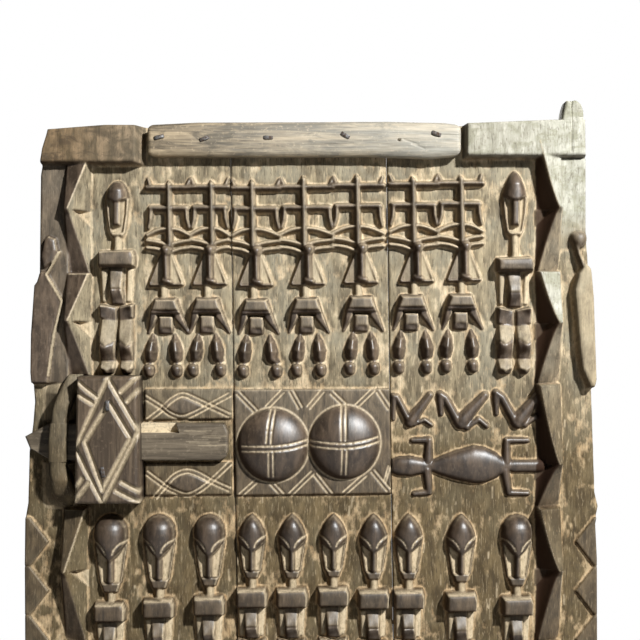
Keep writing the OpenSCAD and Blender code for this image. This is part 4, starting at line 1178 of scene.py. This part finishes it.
def staples():
    """All iron: on the battens, the lock case and across the seams on the back."""
    spots = ((21, 34, -15), (101, 31, -20), (214, 33, 0), (351, 37, 30), (512, 40, 20))
    small = 18.5  # span of all but the back staples
    made = {}
    for name, low, _ in BATTENS:
        made[name + "_staples"] = [
            staple(BATTEN_X[0] + a, GROUND_Y - BAR - .2, low + b, tilt, small, 46, seed=i)
            for i, (a, b, tilt) in enumerate(spots)]
    made["lock_case_staples"] = [
        staple(CASE_X + a, GROUND_Y - CASE_PROUD - .1, CASE_LOW + b, tilt, small, 80, seed=i)
        for a, b, tilt, i in ((58.8, 172, 90, 7), (51, 56, 80, 8))]
    made["back_staples"] = [
        staple(seam_x(line, d), GROUND_Y + PLANK_T + .3, DOOR_H - d, 0, 63, 16, way=1, seed=i)
        for i, (line, d) in enumerate((a, b) for a in (SEAM_1, SEAM_2) for b in (320, 900))]
    for name, parts in made.items():
        ride(join(name + "_iron", parts), "iron", name)


CASE_RINGS = (((59, 3), (113, 95), (50, 221), (1, 126)),
              ((61, 45), (99, 107), (50, 198), (19, 114)))
CASE_LINES = (((7, 11), (40, 36)), ((2, 29), (33, 47)), ((110, 1), (81, 27)),
              ((112, 24), (93, 43)), ((14, 178), (-1, 200)), ((26, 185), (3, 215)),
              ((84, 184), (114, 201)), ((74, 199), (110, 218)))


def cuts_on_case(x, d):
    """How deep the case's double V lines go at points, 0 to 1."""
    deep = np.zeros(x.shape)
    for line in [*(ring + ring[:1] for ring in CASE_RINGS), *CASE_LINES]:
        for a, b in pairwise(line):
            off, _ = segment(x - CASE_X, d - LOCK_ROW, a, b)
            deep = np.maximum(deep, np.clip(1 - off / 6.2, 0, 1))
    return deep


TUMBLERS = (0.17 * CASE_W, 0.37 * CASE_W, 0.68 * CASE_W)  # from the case's left side
SHANK, HEAD = 4.55, 7.55  # half widths of a tumbler's way, below and above its shoulder
HOLLOW = 27.1  # how far the case is hollowed from its back


def lock_case():
    """Hand-worn case with double V lines, hollow for the bolt and its three tumblers."""
    slot = (DOOR_H - BOLT_ROW - 33.5, DOOR_H - BOLT_ROW + 33.5)
    throat, room = slot[1] + 13, slot[1] + 65
    columns = sorted({*np.round(np.arange(0, CASE_W + .1, 1.12), 2),
                      *[round(mid + side * half + e, 2) for mid in TUMBLERS for side in (-1, 1)
                        for half in (SHANK, HEAD) for e in (-.05, .05)]})
    rows = sorted({*np.round(np.arange(CASE_LOW, CASE_LOW + CASE_H + .1, 1.2), 2), slot[0] - .1,
                   slot[0], slot[1], slot[1] + .1, throat, throat + .1, room, room + .1})
    xf = CASE_X + np.array(columns)[None, :]
    v = (np.array(rows)[:, None] - CASE_LOW) / CASE_H
    x, z = xf + 0 * v, CASE_LOW + CASE_H * v + 0 * xf
    d = DOOR_H - z
    deep = cuts_on_case(x, d)
    swell = .8 * np.sin(x / 27.0) * np.sin(z / 41.0)
    high = CASE_PROUD - .6 + .5 * swell - 5.8 * deep
    high -= worn_edge(5.0, 7.0, x - CASE_X, CASE_R - x, z - CASE_LOW, CASE_LOW + CASE_H - z)
    inside = (z > slot[0] - .05) & (z < slot[1] + .05)
    for mid in TUMBLERS:
        off = np.abs(x - CASE_X - mid)
        inside |= (off < SHANK) & (z >= slot[1]) & (z < throat + .05)
        inside |= (off < HEAD) & (z > throat) & (z < room + .05)
    u = (xf - CASE_X) / CASE_W
    ends = [LOCK_ROW, LOCK_ROW + CASE_H]
    leaning = (x + np.interp(d, ends, [5, 0]) * np.clip(1 - np.abs(u) * 6, 0, 1) * .9
               + np.clip(u * 6 - 5, 0, 1) * np.interp(d, ends, [-2, 1.5]))
    tone = [1 - np.clip(deep * 2, 0, 1), 0.6 * np.clip(deep * 1.6, 0, 1), 0 * x, 0 * x]
    obj = closed_block("lock_case_carved", leaning, z, GROUND_Y - high,
                       GROUND_Y - np.where(inside, HOLLOW, 0.0), wear_and_light=tone)
    return ride(obj, "lock_wood", "lock_case")


def lock_bolt():
    """Bolt with a pointed end and a step along its top; its front carries a few pale knocks."""
    low, tall = DOOR_H - BOLT_ROW - 33.0, 66.0
    left, right, shoulder = -975.0, -612.0, 49.0
    rows = np.array(sorted({*np.linspace(0, tall, 56), shoulder - .1, shoulder + .1}))[:, None]
    v = rows / tall
    xl = left + np.interp(rows, [0, 20, 42, 66], [46, 9, 0, 44])
    xr = right - np.interp(rows, [0, 6, 16, 50, 64, 66], [14, 3, 0, 0, 5, 12])
    x = xl + (xr - xl) * np.linspace(0, 1, 300)[None, :]
    z = low + tall * v + 0.5 * np.sin(x / 60.0) * (1 - 2 * v)
    high = 25.6 - worn_edge(2.6, 4.0, x - xl, xr - x, rows, tall - rows) + 0 * x
    high -= 8.5 * np.clip((left + 48 - x) / 2.0, 0, 1)  # the arrow end
    step_end = -699 - 6 * (rows - shoulder) / 17
    in_step = (rows > shoulder) & (x > -798) & (x < step_end)
    high = np.where(in_step, 10.4, high) - .3 * np.abs(np.sin(x / 37.0 + z / 9.0))
    rubbed = np.zeros(x.shape)
    for i in range(14):
        zk = low + (27 if i < 5 else rng.uniform(8, 58))
        xk = rng.uniform(-690, -640)
        off, _ = segment(x, z, (xk, zk), (xk + rng.uniform(20, 60), zk + rng.uniform(-2, 2)))
        high -= .5 * np.clip(1 - off / .9, 0, 1)
        rubbed = np.maximum(rubbed, np.clip(1.2 - off / 1.2, 0, 1))
    tone = [.8 - .8 * in_step, np.maximum(in_step, 0.25 * rubbed), 0 * x, 0 * x]
    obj = closed_block("lock_bolt_worn", x, z, GROUND_Y - .5 - high, GROUND_Y - .5 + 0 * x,
                       skip=4, wear_and_light=tone)
    return ride(obj, "bolt_wood", "lock_bolt", body="bolt")


for piece in ("tumbler_left", "tumbler_middle", "tumbler_right"):
    dress(bpy.data.objects[piece], "tumbler_wood")
keeper()
upper_pivot()
lower_pivot()
for batten_name, low_edge, seed in BATTENS:
    batten(batten_name, low_edge, seed)
staples()
lock_case()
lock_bolt()

# ---------------- stage, light, camera
def place(name, data, spot):
    """A lamp's or camera's object at a spot."""
    obj = bpy.data.objects.new(name, data)
    obj.location = spot
    bpy.context.scene.collection.objects.link(obj)
    return obj


def area_light(name, spot, towards, size, watts, colour):
    lamp = bpy.data.lights.new(name, "AREA")
    lamp.shape, lamp.size, lamp.energy, lamp.color = "DISK", size, watts, colour
    turn = (Vector(towards) - Vector(spot)).to_track_quat("-Z", "Y")
    place(name, lamp, spot).rotation_euler = turn.to_euler()


WHITE = (1.0, 1.0, 1.0)


def surroundings():
    """A faint warm light all round, which the camera sees as white."""
    world = bpy.data.worlds.new("surroundings")
    world.use_nodes = True
    nodes = Nodes(world.node_tree)
    nodes.tree.nodes.clear()
    light = nodes.add("Background", {"Color": (1.0, 0.88, 0.74), "Strength": 0.015})
    both = nodes.camera_sees(WHITE, light.outputs[0], "Background")
    nodes.add("OutputWorld", {"Surface": both})
    return world


def lay_floor():
    """Pale floor that the camera sees as white."""
    bpy.ops.mesh.primitive_plane_add(size=14, location=(-0.45, 0, -0.043))
    floor = bpy.context.object
    floor.name = "floor"
    f = Finish("floor_pale", 0.8)
    f.shader.inputs["Base Color"].default_value = (0.3, 0.3, 0.3, 1)
    both = f.camera_sees(WHITE, f.shader.outputs[0], "Emission")
    f.feed(f.tree.nodes["Material Output"].inputs["Surface"], both)
    floor.data.materials.append(f.made)


def stage():
    """Floor, surroundings, a soft key from the upper right, and the camera."""
    scene = bpy.context.scene
    scene.view_settings.view_transform = "Standard"
    scene.world = surroundings()
    lay_floor()
    area_light("key", (1.55, -2.78, 2.87), (-0.4, 0, 0.75), 0.26, 282, (0.97, 0.99, 1.0))
    area_light("fill", (-1.4, -2.8, 1.3), (-0.45, 0, 0.7), 1.6, 0.5, (1.0, 0.9, 0.78))
    area_light("behind", (-0.4, 2.4, 1.6), (-0.45, 0, 0.7), 1.4, 40, WHITE)

    away, half_view = 2100, 576  # mm from the carved ground, and half the view's width there
    lens = bpy.data.cameras.new("camera")
    lens.sensor_width = 36
    lens.lens = lens.sensor_width / 2 * away / half_view
    scene.camera = place("camera", lens, (-0.448, (GROUND_Y - away) / 1000, 0.891))
    scene.camera.rotation_euler = (math.radians(90), 0, 0)


stage()
